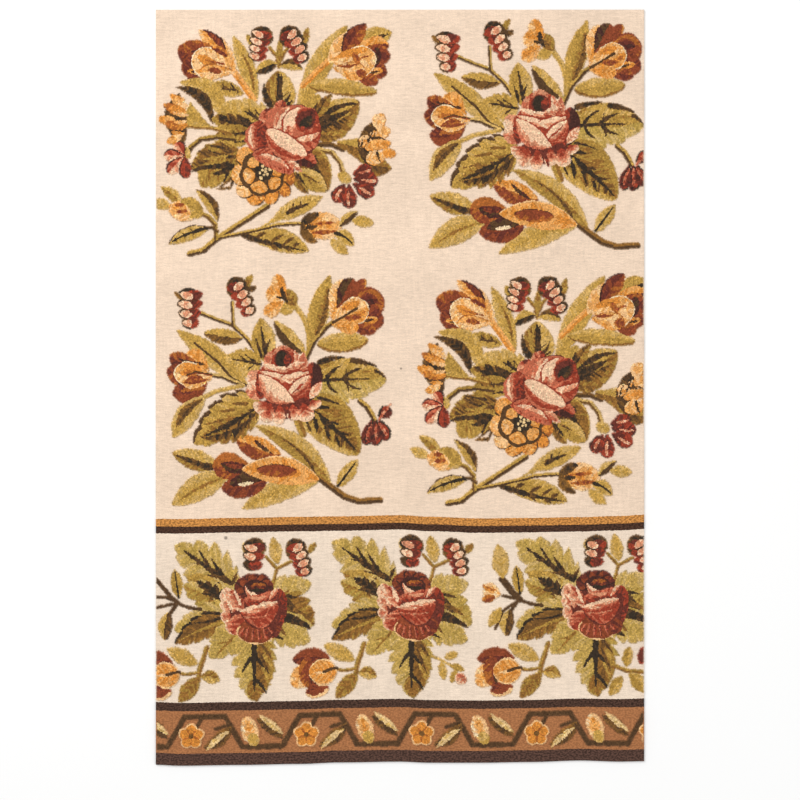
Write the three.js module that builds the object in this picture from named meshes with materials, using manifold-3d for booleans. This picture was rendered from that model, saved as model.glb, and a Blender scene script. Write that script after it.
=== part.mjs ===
// A flat-woven wool rug with flowers and leaves raised in short wool pile.
// It lies flat on the ground. X runs across it, Y up its length to the plain end, and Z up.
// The origin is under the middle of the rug, on the surface that it lies on. Sizes are in
// millimetres.
import * as THREE from "three";
import { mergeVertices } from "three/addons/utils/BufferGeometryUtils.js";
import Module from "manifold-3d";

const wasm = await Module();
wasm.setup();

// The cloth
const WIDTH = 976;
const LENGTH = 1511;
const CLOTH_THICK = 4;
const EDGE_ROUND = 1.2;
const EDGE_ROUND_STEPS = 2;
const HEM_STEPS = 48;

// The pile, measured up from the face of the cloth
const LEAF_PILE = 2.4;
const FLOWER_PILE = 3.2;
const PILE_ROOT = 1.5;
const PILE_EDGE_GAP = 4;

// Steps along each side of a leaf or petal, and round a full flower
const SIDE_STEPS = 5;
const ROUND_STEPS = 16;

// How far the finished cloth is pulled out of true along its length, at places across it: at the
// orange stripe, and at the dark hem below it. The plain end is straight, and the deepest dip of the
// hem counts in the length.
const HEM_DIP = 5;
const HEM_Y = HEM_DIP - LENGTH / 2;
const STRIPE_Y = -275.5;
const PULLS = [
  { x: -488, stripe: -3.4, hem: -3.0 },
  { x: -440, stripe: -4.0, hem: -HEM_DIP },
  { x: -320, stripe: -1.6, hem: -3.4 },
  { x: -200, stripe: 0.6, hem: -1.4 },
  { x: -120, stripe: 1.6, hem: 1.6 },
  { x: 0, stripe: 4.0, hem: 3.2 },
  { x: 60, stripe: 0.8, hem: 1.0 },
  { x: 160, stripe: -2.6, hem: 1.0 },
  { x: 260, stripe: -1.6, hem: 2.4 },
  { x: 360, stripe: 0.0, hem: 5.4 },
  { x: 440, stripe: 2.4, hem: 3.2 },
  { x: 488, stripe: 5.0, hem: 4.0 },
];

// The half width of each form along it, as a share of its greatest half width. s runs from the
// base, 0, to the tip, 1.
const FORMS = {
  leaf: (s) => Math.sin(Math.PI * s) ** 0.8,
  broad: (s) => Math.sin(Math.PI * s ** 0.8) ** 0.6,
  cup: (s) => 0.2 + 0.8 * Math.sin(Math.PI * s ** 1.5) ** 0.7,
  bell: (s) => 0.12 + 0.88 * Math.sin(0.62 * Math.PI * s ** 1.4),
  bud: (s) => Math.sin(Math.PI * s) ** 0.5,
};

// Each row is one raised form: its base, its tip, its full width, and how far its middle bows to
// the left of the line from base to tip. Places are measured from the middle of the rose.
const COLUMNS = ["form", "x", "y", "tipX", "tipY", "wide", "bow"];

const BOUQUET_WITH_MARIGOLD = [
  ["leaf", -138, -169, -182, -103, 20, -6],
  ["bud", -179, -153, -236, -144, 42, 0],
  ["leaf", -149, -184, -239, -209, 30, 0],
  ["leaf", -60, -172, 66, -119, 38, 0],
  ["bud", 32, -177, 111, -181, 54, 0],
  ["leaf", -86, -199, 38, -231, 42, 0],
  ["leaf", -146, 30, -221, 106, 56, -14],
  ["leaf", -43, 30, -129, 76, 48, 0],
  ["leaf", -76, 20, -146, 41, 36, 0],
  ["bell", -143, 27, -249, 46, 95, 0],
  ["cup", -204, -33, -226, -76, 50, 0],
  ["broad", -95, -43, -191, -66, 78, 0],
  ["broad", -13, 63, -17, 133, 62, 0],
  ["broad", 60, 13, 148, 63, 76, 0],
  ["bell", 108, -15, 212, -7, 100, 0],
  ["cup", 123, -85, 146, -136, 80, 0],
  ["broad", 33, -43, 86, -106, 58, 0],
  ["leaf", 20, 63, 119, 221, 38, 12],
  ["cup", 86, 143, 202, 166, 90, 0],
  ["leaf", 40, 106, 178, 90, 28, 12],
  ["leaf", -61, 85, -106, 201, 26, -3],
  ["cup", -109, 129, -212, 186, 92, 0],
  ["bud", -53, 156, -46, 227, 42, 0],
  ["bud", 23, 153, 0, 226, 44, 0],
];

const BOUQUET_WITH_TULIP = [
  ["leaf", 93, -202, -56, -95, 40, -18],
  ["leaf", 106, -212, 149, -158, 28, 0],
  ["leaf", 66, -194, -83, -174, 56, 0],
  ["leaf", -70, -172, -139, -163, 52, 0],
  ["leaf", -136, -166, -222, -139, 36, 0],
  ["leaf", -109, -189, -222, -239, 44, -8],
  ["leaf", 70, -199, -83, -255, 46, 6],
  ["broad", -53, -46, -179, -116, 84, -5],
  ["broad", 70, 0, 204, 3, 94, 0],
  ["broad", 40, -63, 148, -146, 80, 0],
  ["cup", 176, -76, 193, -126, 62, 0],
  ["leaf", -96, 7, -207, 100, 34, 0],
  ["cup", -148, 15, -236, 20, 88, 0],
  ["leaf", -166, -30, -222, -106, 32, -6],
  ["broad", -43, 30, -119, 53, 52, 0],
  ["leaf", -40, 40, -46, 124, 46, 0],
  ["bud", -186, 109, -182, 189, 56, 0],
  ["bud", -66, 136, -103, 202, 50, 0],
  ["leaf", -83, 83, -159, 93, 28, 0],
  ["leaf", 43, 56, -17, 118, 32, 0],
  ["leaf", 60, 73, 93, 209, 36, 3],
  ["cup", 96, 119, 196, 166, 94, 0],
  ["leaf", 68, 66, 166, 76, 36, 0],
  ["cup", 23, 156, -36, 169, 72, 0],
];

const BORDER_SPRAY = [
  ["broad", -3, -60, -2, -179, 84, 0],
  ["broad", -28, -43, -70, -100, 62, 0],
  ["broad", -63, -13, -159, -60, 70, 0],
  ["leaf", -60, 13, -143, 70, 54, 0],
  ["broad", -36, 50, -159, 136, 82, 0],
  ["broad", 36, 20, 113, 53, 50, 0],
  ["broad", 50, 0, 118, -33, 76, 0],
  ["broad", 30, -43, 96, -66, 54, 0],
  ["bud", 3, 80, 3, 142, 44, 0],
  ["bud", 98, 68, 76, 138, 46, 0],
  ["cup", -153, -128, -247, -131, 90, 0],
  ["leaf", -111, -138, -153, -182, 26, 0],
];

// Full flowers are scalloped discs: the middle, the diameter, how many scallops and how deep.
const FULL_FLOWER_COLUMNS = ["x", "y", "wide", "scallops", "depth"];
const ROSE = [12, 6, 134, 5, 0.05];
const MARIGOLD = [-48, -76, 122, 8, 0.06];
const BORDER_ROSE = [0, 4, 136, 5, 0.05];

// Where each bouquet's rose stands on the rug.
const GROUP_COLUMNS = ["x", "y", "forms", "flowers"];
const GROUPS = [
  [-225, 500.5, BOUQUET_WITH_MARIGOLD, [ROSE, MARIGOLD]],
  [289, 0.5, BOUQUET_WITH_MARIGOLD, [ROSE, MARIGOLD]],
  [282, 523.5, BOUQUET_WITH_TULIP, [ROSE]],
  [-235, 19.5, BOUQUET_WITH_TULIP, [ROSE]],
  [-291, -443.5, BORDER_SPRAY, [BORDER_ROSE]],
  [18, -437.5, BORDER_SPRAY, [BORDER_ROSE]],
  [396, -438.5, BORDER_SPRAY, [BORDER_ROSE]],
];

// The narrow guard border below the sprays: a vine that steps up and down, with a flower over
// each upper run and a bud over each lower one.
const VINE = { period: 230, firstTop: -390, run: 80, thick: 10, topY: -653.5, bottomY: -714.5 };
const VINE_FLOWER = { left: 27, y: -693.5, wide: 50, scallops: 5, depth: 0.1 };
const VINE_BUD = { left: 25, y: -678.5, high: 50, wide: 36, lean: 6 };

function named(columns, row) {
  return Object.fromEntries(columns.map((column, i) => [column, row[i]]));
}

// How far the cloth is pulled, at a place across and along it.
function pullAt(x, y) {
  const after = Math.max(1, PULLS.findIndex((pull) => pull.x >= x));
  const [a, b] = x > PULLS.at(-1).x ? [PULLS.at(-1), PULLS.at(-1)] : [PULLS[after - 1], PULLS[after]];
  const across = a === b ? 0 : THREE.MathUtils.clamp((x - a.x) / (b.x - a.x), 0, 1);
  const ease = (1 - Math.cos(Math.PI * across)) / 2;
  const stripe = THREE.MathUtils.lerp(a.stripe, b.stripe, ease);
  const hem = THREE.MathUtils.lerp(a.hem, b.hem, ease);
  if (y > STRIPE_Y) return stripe * THREE.MathUtils.clamp((LENGTH / 2 - y) / (LENGTH / 2 - STRIPE_Y), 0, 1);
  return THREE.MathUtils.lerp(stripe, hem, THREE.MathUtils.clamp((STRIPE_Y - y) / (STRIPE_Y - HEM_Y), 0, 1));
}

function pulled(x, y) {
  return new THREE.Vector2(x, y + pullAt(x, y));
}

// The outline of the cloth, in from its edge by inset: three straight sides and the hem.
function clothOutline(inset) {
  const side = WIDTH / 2 - inset;
  const points = [new THREE.Vector2(side, LENGTH / 2 - inset), new THREE.Vector2(-side, LENGTH / 2 - inset)];
  for (let i = 0; i <= HEM_STEPS; i++) {
    const x = -side + (2 * side * i) / HEM_STEPS;
    points.push(new THREE.Vector2(x, HEM_Y + pullAt(x, HEM_Y) + inset));
  }
  return points;
}

// The outline of one leaf, petal cup, bell or bud, with its base at x, y of its row.
function formOutline(row, originX, originY) {
  const { form, x, y, tipX, tipY, wide, bow } = named(COLUMNS, row);
  const long = Math.hypot(tipX - x, tipY - y);
  const [aheadX, aheadY] = [(tipX - x) / long, (tipY - y) / long];
  const place = (s, side) => {
    const along = s * long;
    const left = bow * 4 * s * (1 - s) + (side * wide * FORMS[form](s)) / 2;
    return pulled(
      originX + x + along * aheadX - left * aheadY,
      originY + y + along * aheadY + left * aheadX,
    );
  };
  const right = Array.from({ length: SIDE_STEPS + 1 }, (_, i) => place(i / SIDE_STEPS, -1));
  const left = Array.from({ length: SIDE_STEPS + 1 }, (_, i) => place(1 - i / SIDE_STEPS, 1));
  return [...right, ...left].filter((p, i, all) => p.distanceTo(all[(i + 1) % all.length]) > 0.5);
}

function flowerOutline(flower, originX, originY) {
  return Array.from({ length: ROUND_STEPS }, (_, i) => {
    const angle = (2 * Math.PI * i) / ROUND_STEPS;
    const reach = (flower.wide / 2) * (1 - flower.depth * (1 - Math.cos(flower.scallops * angle)));
    return pulled(originX + flower.x + reach * Math.cos(angle), originY + flower.y + reach * Math.sin(angle));
  });
}

// A closed solid with that outline, from one height to another.
function prism(outline, low, high) {
  const geometry = new THREE.ExtrudeGeometry(new THREE.Shape(outline), {
    depth: high - low,
    bevelEnabled: false,
  });
  return solidOf(geometry.translate(0, 0, low));
}

function solidOf(geometry) {
  const bare = new THREE.BufferGeometry().setAttribute("position", geometry.getAttribute("position"));
  if (geometry.index) bare.setIndex(geometry.index);
  const merged = mergeVertices(bare, 1e-3);
  return new wasm.Manifold(
    new wasm.Mesh({
      numProp: 3,
      vertProperties: merged.attributes.position.array,
      triVerts: new Uint32Array(merged.index.array),
    }),
  );
}

function geometryOf(solid) {
  const made = solid.getMesh();
  const geometry = new THREE.BufferGeometry();
  geometry.setAttribute("position", new THREE.BufferAttribute(made.vertProperties, 3));
  geometry.setIndex(new THREE.BufferAttribute(made.triVerts, 1));
  geometry.computeVertexNormals();
  return geometry;
}

// The flat-woven cloth, with its turned edges rounded over and under.
function clothSolid() {
  const geometry = new THREE.ExtrudeGeometry(new THREE.Shape(clothOutline(EDGE_ROUND)), {
    depth: CLOTH_THICK - 2 * EDGE_ROUND,
    bevelThickness: EDGE_ROUND,
    bevelSize: EDGE_ROUND,
    bevelSegments: EDGE_ROUND_STEPS,
  });
  return solidOf(geometry.translate(0, 0, EDGE_ROUND));
}

// The pile of one bouquet or spray: its leaves and smaller flowers, and its full flowers.
function groupPile(row) {
  const group = named(GROUP_COLUMNS, row);
  const root = CLOTH_THICK - PILE_ROOT;
  const leaves = group.forms.map((form, i) => {
    const isFlower = form[0] === "cup" || form[0] === "bell";
    const rise = (isFlower ? FLOWER_PILE : LEAF_PILE) - 0.02 * i;
    return prism(formOutline(form, group.x, group.y), root, CLOTH_THICK + rise);
  });
  const flowers = group.flowers.map((flower, i) => {
    const outline = flowerOutline(named(FULL_FLOWER_COLUMNS, flower), group.x, group.y);
    return prism(outline, root, CLOTH_THICK + FLOWER_PILE + 0.3 - 0.1 * i);
  });
  return [...leaves, ...flowers];
}

// The stepped vine of the guard border, and the flowers and buds in its bends.
function guardPile() {
  const root = CLOTH_THICK - PILE_ROOT;
  const ramp = (VINE.period - 2 * VINE.run) / 2;
  const line = [];
  for (let top = VINE.firstTop - VINE.period; top < WIDTH / 2 + VINE.period; top += VINE.period) {
    line.push([top - VINE.run / 2, VINE.topY], [top + VINE.run / 2, VINE.topY]);
    line.push([top + VINE.run / 2 + ramp, VINE.bottomY], [top + 1.5 * VINE.run + ramp, VINE.bottomY]);
  }
  const upper = line.map(([x, y]) => pulled(x, y + VINE.thick / 2));
  const lower = line.map(([x, y]) => pulled(x, y - VINE.thick / 2)).reverse();
  const pile = [prism([...upper, ...lower], root, CLOTH_THICK + LEAF_PILE)];
  for (let top = VINE.firstTop; top < WIDTH / 2; top += VINE.period) {
    const flower = { ...VINE_FLOWER, x: top - VINE_FLOWER.left };
    pile.push(prism(flowerOutline(flower, 0, 0), root, CLOTH_THICK + FLOWER_PILE));
    const budX = top + VINE.period / 2 - VINE_BUD.left;
    const bud = [
      "bud",
      budX + VINE_BUD.lean,
      VINE_BUD.y - VINE_BUD.high / 2,
      budX - VINE_BUD.lean,
      VINE_BUD.y + VINE_BUD.high / 2,
      VINE_BUD.wide,
      0,
    ];
    pile.push(prism(formOutline(bud, 0, 0), root, CLOTH_THICK + FLOWER_PILE));
  }
  return pile;
}

function rugMesh() {
  const reach = prism(clothOutline(PILE_EDGE_GAP), 0, CLOTH_THICK + 2 * FLOWER_PILE);
  const pile = wasm.Manifold.union([...GROUPS.flatMap(groupPile), ...guardPile()]);
  const wool = new THREE.MeshStandardMaterial({ color: 0xf0d8c0, roughness: 0.95, metalness: 0 });
  const mesh = new THREE.Mesh(geometryOf(clothSolid().add(pile.intersect(reach))), wool);
  mesh.name = "rug";
  return mesh;
}

const rug = new THREE.Group();
rug.add(rugMesh());

export default rug;
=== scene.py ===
from functools import partial

import bmesh
import bpy
import numpy as np
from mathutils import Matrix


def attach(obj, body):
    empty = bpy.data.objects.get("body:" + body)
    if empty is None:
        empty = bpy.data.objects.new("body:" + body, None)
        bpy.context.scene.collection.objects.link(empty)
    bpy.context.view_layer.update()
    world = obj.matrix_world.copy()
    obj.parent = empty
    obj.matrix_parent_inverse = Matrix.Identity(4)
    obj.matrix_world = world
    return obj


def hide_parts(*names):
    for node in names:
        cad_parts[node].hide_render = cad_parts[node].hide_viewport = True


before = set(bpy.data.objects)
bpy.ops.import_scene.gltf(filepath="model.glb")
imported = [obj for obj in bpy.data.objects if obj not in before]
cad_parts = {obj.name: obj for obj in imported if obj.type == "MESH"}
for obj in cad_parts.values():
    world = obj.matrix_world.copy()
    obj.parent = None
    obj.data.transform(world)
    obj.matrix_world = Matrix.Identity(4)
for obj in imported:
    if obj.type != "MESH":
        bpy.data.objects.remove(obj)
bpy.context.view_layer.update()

# The floor, the light and the camera. The rug lies face up on a plain pale floor under soft
# studio light, and the camera looks straight down at it with a long lens.
FRAME_WIDE = 1.6
FRAME_MIDDLE_Y = -0.0245
LENS = 100.0
SENSOR = 36.0
FLOOR_HALF = 4.0
FLOOR_DROP = 0.0002
FLOOR_COLOUR = (0.95, 0.95, 0.945)

camera_data = bpy.data.cameras.new("camera")
camera_data.lens = LENS
camera_data.sensor_width = SENSOR
camera = bpy.data.objects.new("camera", camera_data)
camera.location = (0.0, FRAME_MIDDLE_Y, FRAME_WIDE * LENS / SENSOR)
bpy.context.collection.objects.link(camera)
bpy.context.scene.camera = camera
bpy.context.scene.view_settings.view_transform = "Standard"


class Value:
    """A shader socket that can be used in Python expressions."""

    def __init__(self, tree, socket):
        self.tree = tree
        self.socket = socket

    def node(self, kind, sockets=(), **settings):
        """Adds a node with its settings and inputs, and gives its first output."""
        made = self.tree.nodes.new(kind)
        for setting, value in settings.items():
            setattr(made, setting, value)
        for where, value in dict(sockets).items():
            if isinstance(value, Value):
                self.tree.links.new(value.socket, made.inputs[where])
            else:
                made.inputs[where].default_value = value
        return Value(self.tree, next(out for out in made.outputs if out.enabled))

    def math(self, operation, *others):
        inputs = {i: value for i, value in enumerate((self, *others))}
        return self.node("ShaderNodeMath", inputs, operation=operation)

    def __add__(self, other):
        return self.math("ADD", other)

    __radd__ = __add__

    def __sub__(self, other):
        return self.math("SUBTRACT", other)

    def __rsub__(self, other):
        return (self * -1.0) + other

    def __mul__(self, other):
        return self.math("MULTIPLY", other)

    __rmul__ = __mul__

    def __gt__(self, other):
        return self.math("GREATER_THAN", other)

    def __lt__(self, other):
        return self.math("LESS_THAN", other)

    def ramp(self, low, high, to_low=0.0, to_high=1.0):
        """Goes smoothly from one value to another as this one goes from low to high."""
        limits = {0: self, 1: low, 2: high, 3: to_low, 4: to_high}
        return self.node("ShaderNodeMapRange", limits, interpolation_type="SMOOTHSTEP")

    def mix(self, low, high):
        """The colour low where this value is 0, and high where it is 1."""
        return self.node("ShaderNodeMix", {0: self, 6: low, 7: high}, data_type="RGBA")

    def tinted(self, factor):
        """This colour, made lighter or darker by a value."""
        grey = self.node("ShaderNodeCombineColor", {0: factor, 1: factor, 2: factor})
        sockets = {0: 1.0, 6: self, 7: grey}
        return self.node("ShaderNodeMix", sockets, data_type="RGBA", blend_type="MULTIPLY")

    def noise(self, scale, detail=2.0, rough=0.5):
        """Soft noise from 0 to 1, with scale features to a unit of this vector."""
        sockets = {"Vector": self, "Scale": scale, "Detail": detail, "Roughness": rough}
        return self.node("ShaderNodeTexNoise", sockets, noise_dimensions="3D")

    def stretched(self, x, y, z):
        """This vector, scaled along each axis."""
        return self.node("ShaderNodeMapping", {"Vector": self, "Scale": (x, y, z)})


def parted(code):
    """The red, green and blue of a colour's hex code, from 0 to 1."""
    return [int(code[i : i + 2], 16) / 255 for i in (1, 3, 5)]


def linear(code):
    """A colour as a hex code, in the linear values that shaders use."""
    shares = [c / 12.92 if c <= 0.04045 else ((c + 0.055) / 1.055) ** 2.4 for c in parted(code)]
    return (*shares, 1.0)


SPECULAR = 0.1
SHEEN_ROUGHNESS = 0.6


def matte(name, roughness, sheen=0.0):
    """A new material, its shader, and the value that its other nodes start from."""
    material = bpy.data.materials.new(name)
    material.use_nodes = True
    shader = material.node_tree.nodes["Principled BSDF"]
    shader.inputs["Roughness"].default_value = roughness
    shader.inputs["Specular IOR Level"].default_value = SPECULAR
    shader.inputs["Sheen Weight"].default_value = sheen
    shader.inputs["Sheen Roughness"].default_value = SHEEN_ROUGHNESS
    return material, shader, Value(material.node_tree, None)


def placed(name, bm, material):
    """A smooth-shaded piece from a bmesh, with its place in its mesh."""
    mesh = bpy.data.meshes.new(name)
    bm.to_mesh(mesh)
    bm.free()
    mesh.materials.append(material)
    mesh.polygons.foreach_set("use_smooth", np.ones(len(mesh.polygons), dtype=bool))
    piece = bpy.data.objects.new(name, mesh)
    bpy.context.collection.objects.link(piece)
    return piece


floor_material, floor_shader, _ = matte("pale floor", roughness=0.9)
floor_shader.inputs["Base Color"].default_value = (*FLOOR_COLOUR, 1.0)
floor_mesh = bmesh.new()
bmesh.ops.create_grid(floor_mesh, x_segments=1, y_segments=1, size=FLOOR_HALF)
bmesh.ops.translate(floor_mesh, verts=floor_mesh.verts, vec=(0.0, 0.0, -FLOOR_DROP))
floor = placed("floor", floor_mesh, floor_material)

SKY_STRENGTH = 0.62
LIGHTS = (
    # name, place, size, power
    ("window", (-2.2, 2.0, 3.2), 2.4, 95.0),
    ("fill", (2.4, -1.2, 3.4), 3.0, 40.0),
)
for name, place, size, power in LIGHTS:
    light_data = bpy.data.lights.new(name, "AREA")
    light_data.size = size
    light_data.energy = power
    light = bpy.data.objects.new(name, light_data)
    light.location = place
    bpy.context.collection.objects.link(light)
    aim = light.constraints.new("TRACK_TO")
    aim.target = floor
world = bpy.data.worlds.new("studio")
world.use_nodes = True
sky = world.node_tree.nodes["Background"]
sky.inputs["Color"].default_value = (1.0, 1.0, 1.0, 1.0)
sky.inputs["Strength"].default_value = SKY_STRENGTH
bpy.context.scene.world = world

# The cloth. It is one flat-woven piece of undyed wool with its stripes and its brown guard border
# woven in, turned under at the edges. The weaving and washing pulled its border out of true.
WIDTH = 0.976
LENGTH = 1.511
HEM_DIP = 0.005
CLOTH_THICK = 0.004
EDGE_ROUND = 0.0012
GRID_STEP = 0.006
LOOM_SPAN = 1.6

# The colours of its bands, from the plain end down, and how far along the cloth each one starts.
FIELD_COLOUR = "#EBD2BA"
BORDER_COLOUR = "#EBD7C2"
GUARD_COLOUR = "#A66E46"
BANDS = (
    # starts at, colour, share of loose wool
    (None, FIELD_COLOUR, 0.0),
    (-0.2585, "#BF8242", 0.8),
    (-0.2737, "#462F23", 1.0),
    (-0.2875, BORDER_COLOUR, 0.0),
    (-0.6250, "#483329", 1.0),
    (-0.6417, GUARD_COLOUR, 0.4),
    (-0.7265, "#513A31", 1.0),
)
BAND_WAVER = 0.0026

# How far the cloth is pulled along its length at places across it: at the orange stripe, and at
# the dark hem. The plain end is straight.
STRIPE_Y = -0.2755
HEM_Y = HEM_DIP - LENGTH / 2
PULLS = (
    # x, at the stripe, at the hem
    (-0.488, -0.0034, -0.0030),
    (-0.440, -0.0040, -HEM_DIP),
    (-0.320, -0.0016, -0.0034),
    (-0.200, 0.0006, -0.0014),
    (-0.120, 0.0016, 0.0016),
    (0.000, 0.0040, 0.0032),
    (0.060, 0.0008, 0.0010),
    (0.160, -0.0026, 0.0010),
    (0.260, -0.0016, 0.0024),
    (0.360, 0.0000, 0.0054),
    (0.440, 0.0024, 0.0032),
    (0.488, 0.0050, 0.0040),
)


def eased(x, columns, values):
    """Goes smoothly from value to value, flat at each."""
    after = np.clip(np.searchsorted(columns, x), 1, len(columns) - 1)
    share = np.clip((x - columns[after - 1]) / (columns[after] - columns[after - 1]), 0, 1)
    share = (1 - np.cos(np.pi * share)) / 2
    return values[after - 1] * (1 - share) + values[after] * share


def pulled(x, y):
    """Where along the length a place on the loom lies in the finished cloth."""
    places, at_stripe, at_hem = np.array(PULLS).T
    stripe = eased(x, places, at_stripe)
    hem = eased(x, places, at_hem)
    above = np.clip((LENGTH / 2 - y) / (LENGTH / 2 - STRIPE_Y), 0, 1)
    below = np.clip((STRIPE_Y - y) / (STRIPE_Y - HEM_Y), 0, 1)
    return y + stripe * above * (1 - below) + hem * below


# One random lattice stands for every unevenness of the hand-made cloth and its wool.
LATTICE_SIDE = 97
LATTICE = np.random.default_rng(11).uniform(-1, 1, (LATTICE_SIDE, LATTICE_SIDE))


def uneven(x, y, change_x, change_y):
    """Smooth noise from -1 to 1 that changes over the given lengths."""
    across, along = x / change_x + 40, y / change_y + 40
    column, row = np.floor(across).astype(int), np.floor(along).astype(int)
    across, along = across - column, along - row
    across, along = across * across * (3 - 2 * across), along * along * (3 - 2 * along)

    def at(right, up):
        return LATTICE[(row + up) % LATTICE_SIDE, (column + right) % LATTICE_SIDE]

    low = at(0, 0) * (1 - across) + at(1, 0) * across
    high = at(0, 1) * (1 - across) + at(1, 1) * across
    return low * (1 - along) + high * along


def bump_along(distance, wide):
    """A soft ridge of the given width, as a share of its height."""
    return np.exp(-((distance / wide) ** 2))


# A soft swaying ridge runs down the field, and three short creases lie on its right.
RIDGE_X = -0.006
RIDGE_SWAY = 0.002
RIDGE_HIGH = 0.00024
RIDGE_WIDE = 0.007
RIDGE_END_Y = -0.26
CREASES = (
    # y, slope
    (-0.160, 0.02),
    (-0.196, -0.03),
    (-0.222, 0.01),
)
CREASE_X = 0.40
CREASE_REACH = 0.12
CREASE_HIGH = 0.0006
CREASE_WIDE = 0.006
SLACK = 0.0002


def cloth_top(x, y):
    """The height of the cloth's face."""
    off_ridge = x - RIDGE_X + RIDGE_SWAY * np.sin(y * 9)
    ridge = RIDGE_HIGH * bump_along(off_ridge, RIDGE_WIDE) * (y > RIDGE_END_Y)
    creases = np.zeros_like(x)
    for crease_y, slope in CREASES:
        reach = bump_along(x - CREASE_X, CREASE_REACH)
        off_crease = y - crease_y - slope * (x - CREASE_X)
        creases += CREASE_HIGH * reach * bump_along(off_crease, CREASE_WIDE)
    return CLOTH_THICK + ridge + creases + SLACK * uneven(x, y, 0.05, 0.03)


def moved(mesh, place):
    """Moves every point of a mesh to where place(x, y, z) says."""
    points = np.empty(len(mesh.vertices) * 3)
    mesh.vertices.foreach_get("co", points)
    points = np.stack(place(*points.reshape(-1, 3).T), axis=1)
    mesh.vertices.foreach_set("co", points.ravel())
    mesh.update()


cloth = bmesh.new()
steps_across, steps_along = round(WIDTH / GRID_STEP), round((LENGTH - HEM_DIP) / GRID_STEP)
bmesh.ops.create_grid(cloth, x_segments=steps_across, y_segments=steps_along, size=0.5)
half_cloth = (WIDTH, LENGTH - HEM_DIP, 1.0)
bmesh.ops.scale(cloth, verts=cloth.verts, vec=half_cloth)
bmesh.ops.translate(cloth, verts=cloth.verts, vec=(0.0, HEM_DIP / 2, CLOTH_THICK))
loom = cloth.loops.layers.uv.new("loom")
rim = [edge for edge in cloth.edges if edge.is_boundary]
walls = bmesh.ops.extrude_edge_only(cloth, edges=rim)["geom"]
foot = [part for part in walls if isinstance(part, bmesh.types.BMVert)]
bmesh.ops.translate(cloth, verts=foot, vec=(0.0, 0.0, -CLOTH_THICK))
foot_edges = [part for part in walls if isinstance(part, bmesh.types.BMEdge) and part.is_boundary]
bmesh.ops.contextual_create(cloth, geom=foot_edges)
bmesh.ops.bevel(
    cloth, geom=rim + foot_edges, offset=EDGE_ROUND, segments=2, profile=0.5, affect="EDGES",
    material=-1,
)
for face in cloth.faces:
    for loop in face.loops:
        point = loop.vert.co
        loop[loom].uv = (point.x / LOOM_SPAN + 0.5, point.y / LOOM_SPAN + 0.5)
bmesh.ops.recalc_face_normals(cloth, faces=cloth.faces)

cloth_material, shader, nodes = matte("flat-woven wool", roughness=0.95, sheen=0.05)
loom_place = nodes.node("ShaderNodeUVMap", uv_map="loom")
across = nodes.node("ShaderNodeSeparateXYZ", {0: loom_place})
along = Value(across.tree, across.socket.node.outputs[1])
loom_x = (across - 0.5) * LOOM_SPAN
loom_y = (along - 0.5) * LOOM_SPAN
fuzz = loom_place.stretched(900.0, 900.0, 1.0).noise(1.0)
edge_y = loom_y + (loom_place.noise(420.0, 1.0) - 0.5) * BAND_WAVER
colour = nodes.node("ShaderNodeRGB")
colour.socket.default_value = linear(BANDS[0][1])
loose = 0.0
for (starts, code, share), (_, _, share_above) in zip(BANDS[1:], BANDS):
    below = edge_y < starts
    colour = below.mix(colour, linear(code))
    loose = below * (share - share_above) + loose

# Its wool is uneven: thick places in the weft, threads and warps of their own shade, and blotches.
slub = loom_place.stretched(64.0, 380.0, 1.0).noise(1.0, 3.0, 0.65)
thread = loom_place.stretched(160.0, 700.0, 1.0).noise(1.0, 2.0, 0.6)
warp = loom_place.stretched(380.0, 46.0, 1.0).noise(1.0)
blotch = loom_place.noise(14.0, 3.0, 0.6)
shade = slub.ramp(0.25, 0.75, 0.91, 1.08) * warp.ramp(0.3, 0.7, 0.97, 1.03)
shade = shade * thread.ramp(0.25, 0.75, 0.93, 1.06) * fuzz.ramp(0.25, 0.75, 0.88, 1.10)
shade = shade * blotch.ramp(0.3, 0.7, 0.95, 1.04)
woolly = loom_place.stretched(360.0, 520.0, 1.0).noise(1.0, 2.0, 0.6).ramp(0.38, 0.62, 0.5, 1.5)
shade = loose.mix(shade, woolly)
colour = colour.tinted(shade)

STAIN_COLOUR = "#3A2C22"
STAINS = (
    # x, y, reach, depth
    (0.002, 0.0355, 0.0030, 0.62),
    (-0.348, -0.2980, 0.0048, 0.62),
)
for stain_x, stain_y, reach, depth in STAINS:
    away = (loom_x - stain_x).math("POWER", 2.0) + (loom_y - stain_y).math("POWER", 2.0)
    mark = away.math("SQRT").ramp(reach * 0.4, reach, depth, 0.0)
    colour = mark.mix(colour, linear(STAIN_COLOUR))

# The ribs of the weave, from thread to thread along the cloth and across it.
RIB_ALONG = 0.0036
RIB_ACROSS = 0.0042
rib_along = (loom_y * (2 * np.pi / RIB_ALONG)).math("SINE")
rib_across = (loom_x * (2 * np.pi / RIB_ACROSS)).math("SINE")
rib = rib_along * rib_across * 0.3
relief = rib + slub + thread * 0.7 + warp * 0.5
normal = nodes.node("ShaderNodeBump", {"Strength": 0.5, "Distance": 0.0009, "Height": relief})
tree = cloth_material.node_tree
tree.links.new(colour.socket, shader.inputs["Base Color"])
tree.links.new(normal.socket, shader.inputs["Normal"])

cloth_piece = placed("rug_cloth", cloth, cloth_material)


def laid_cloth(x, y, z):
    """Pulls the cloth out of true, and raises its upper half with its ridge and creases."""
    raised = np.where(z > CLOTH_THICK / 2, cloth_top(x, y) - CLOTH_THICK, 0.0)
    return x, pulled(x, y), z + raised


moved(cloth_piece.data, laid_cloth)
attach(cloth_piece, "root")
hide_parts("rug")

# The pile. It is short cut wool, knotted into the cloth tuft by tuft in twenty or so dyed yarns
# and clipped by hand, so each flower and leaf stands up from the flat weave with a soft edge.
# Its charts are in millimetres from the middle of each bunch's rose. A tuft is two cells wide.
CELL = 1.5
MM = 1000

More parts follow.
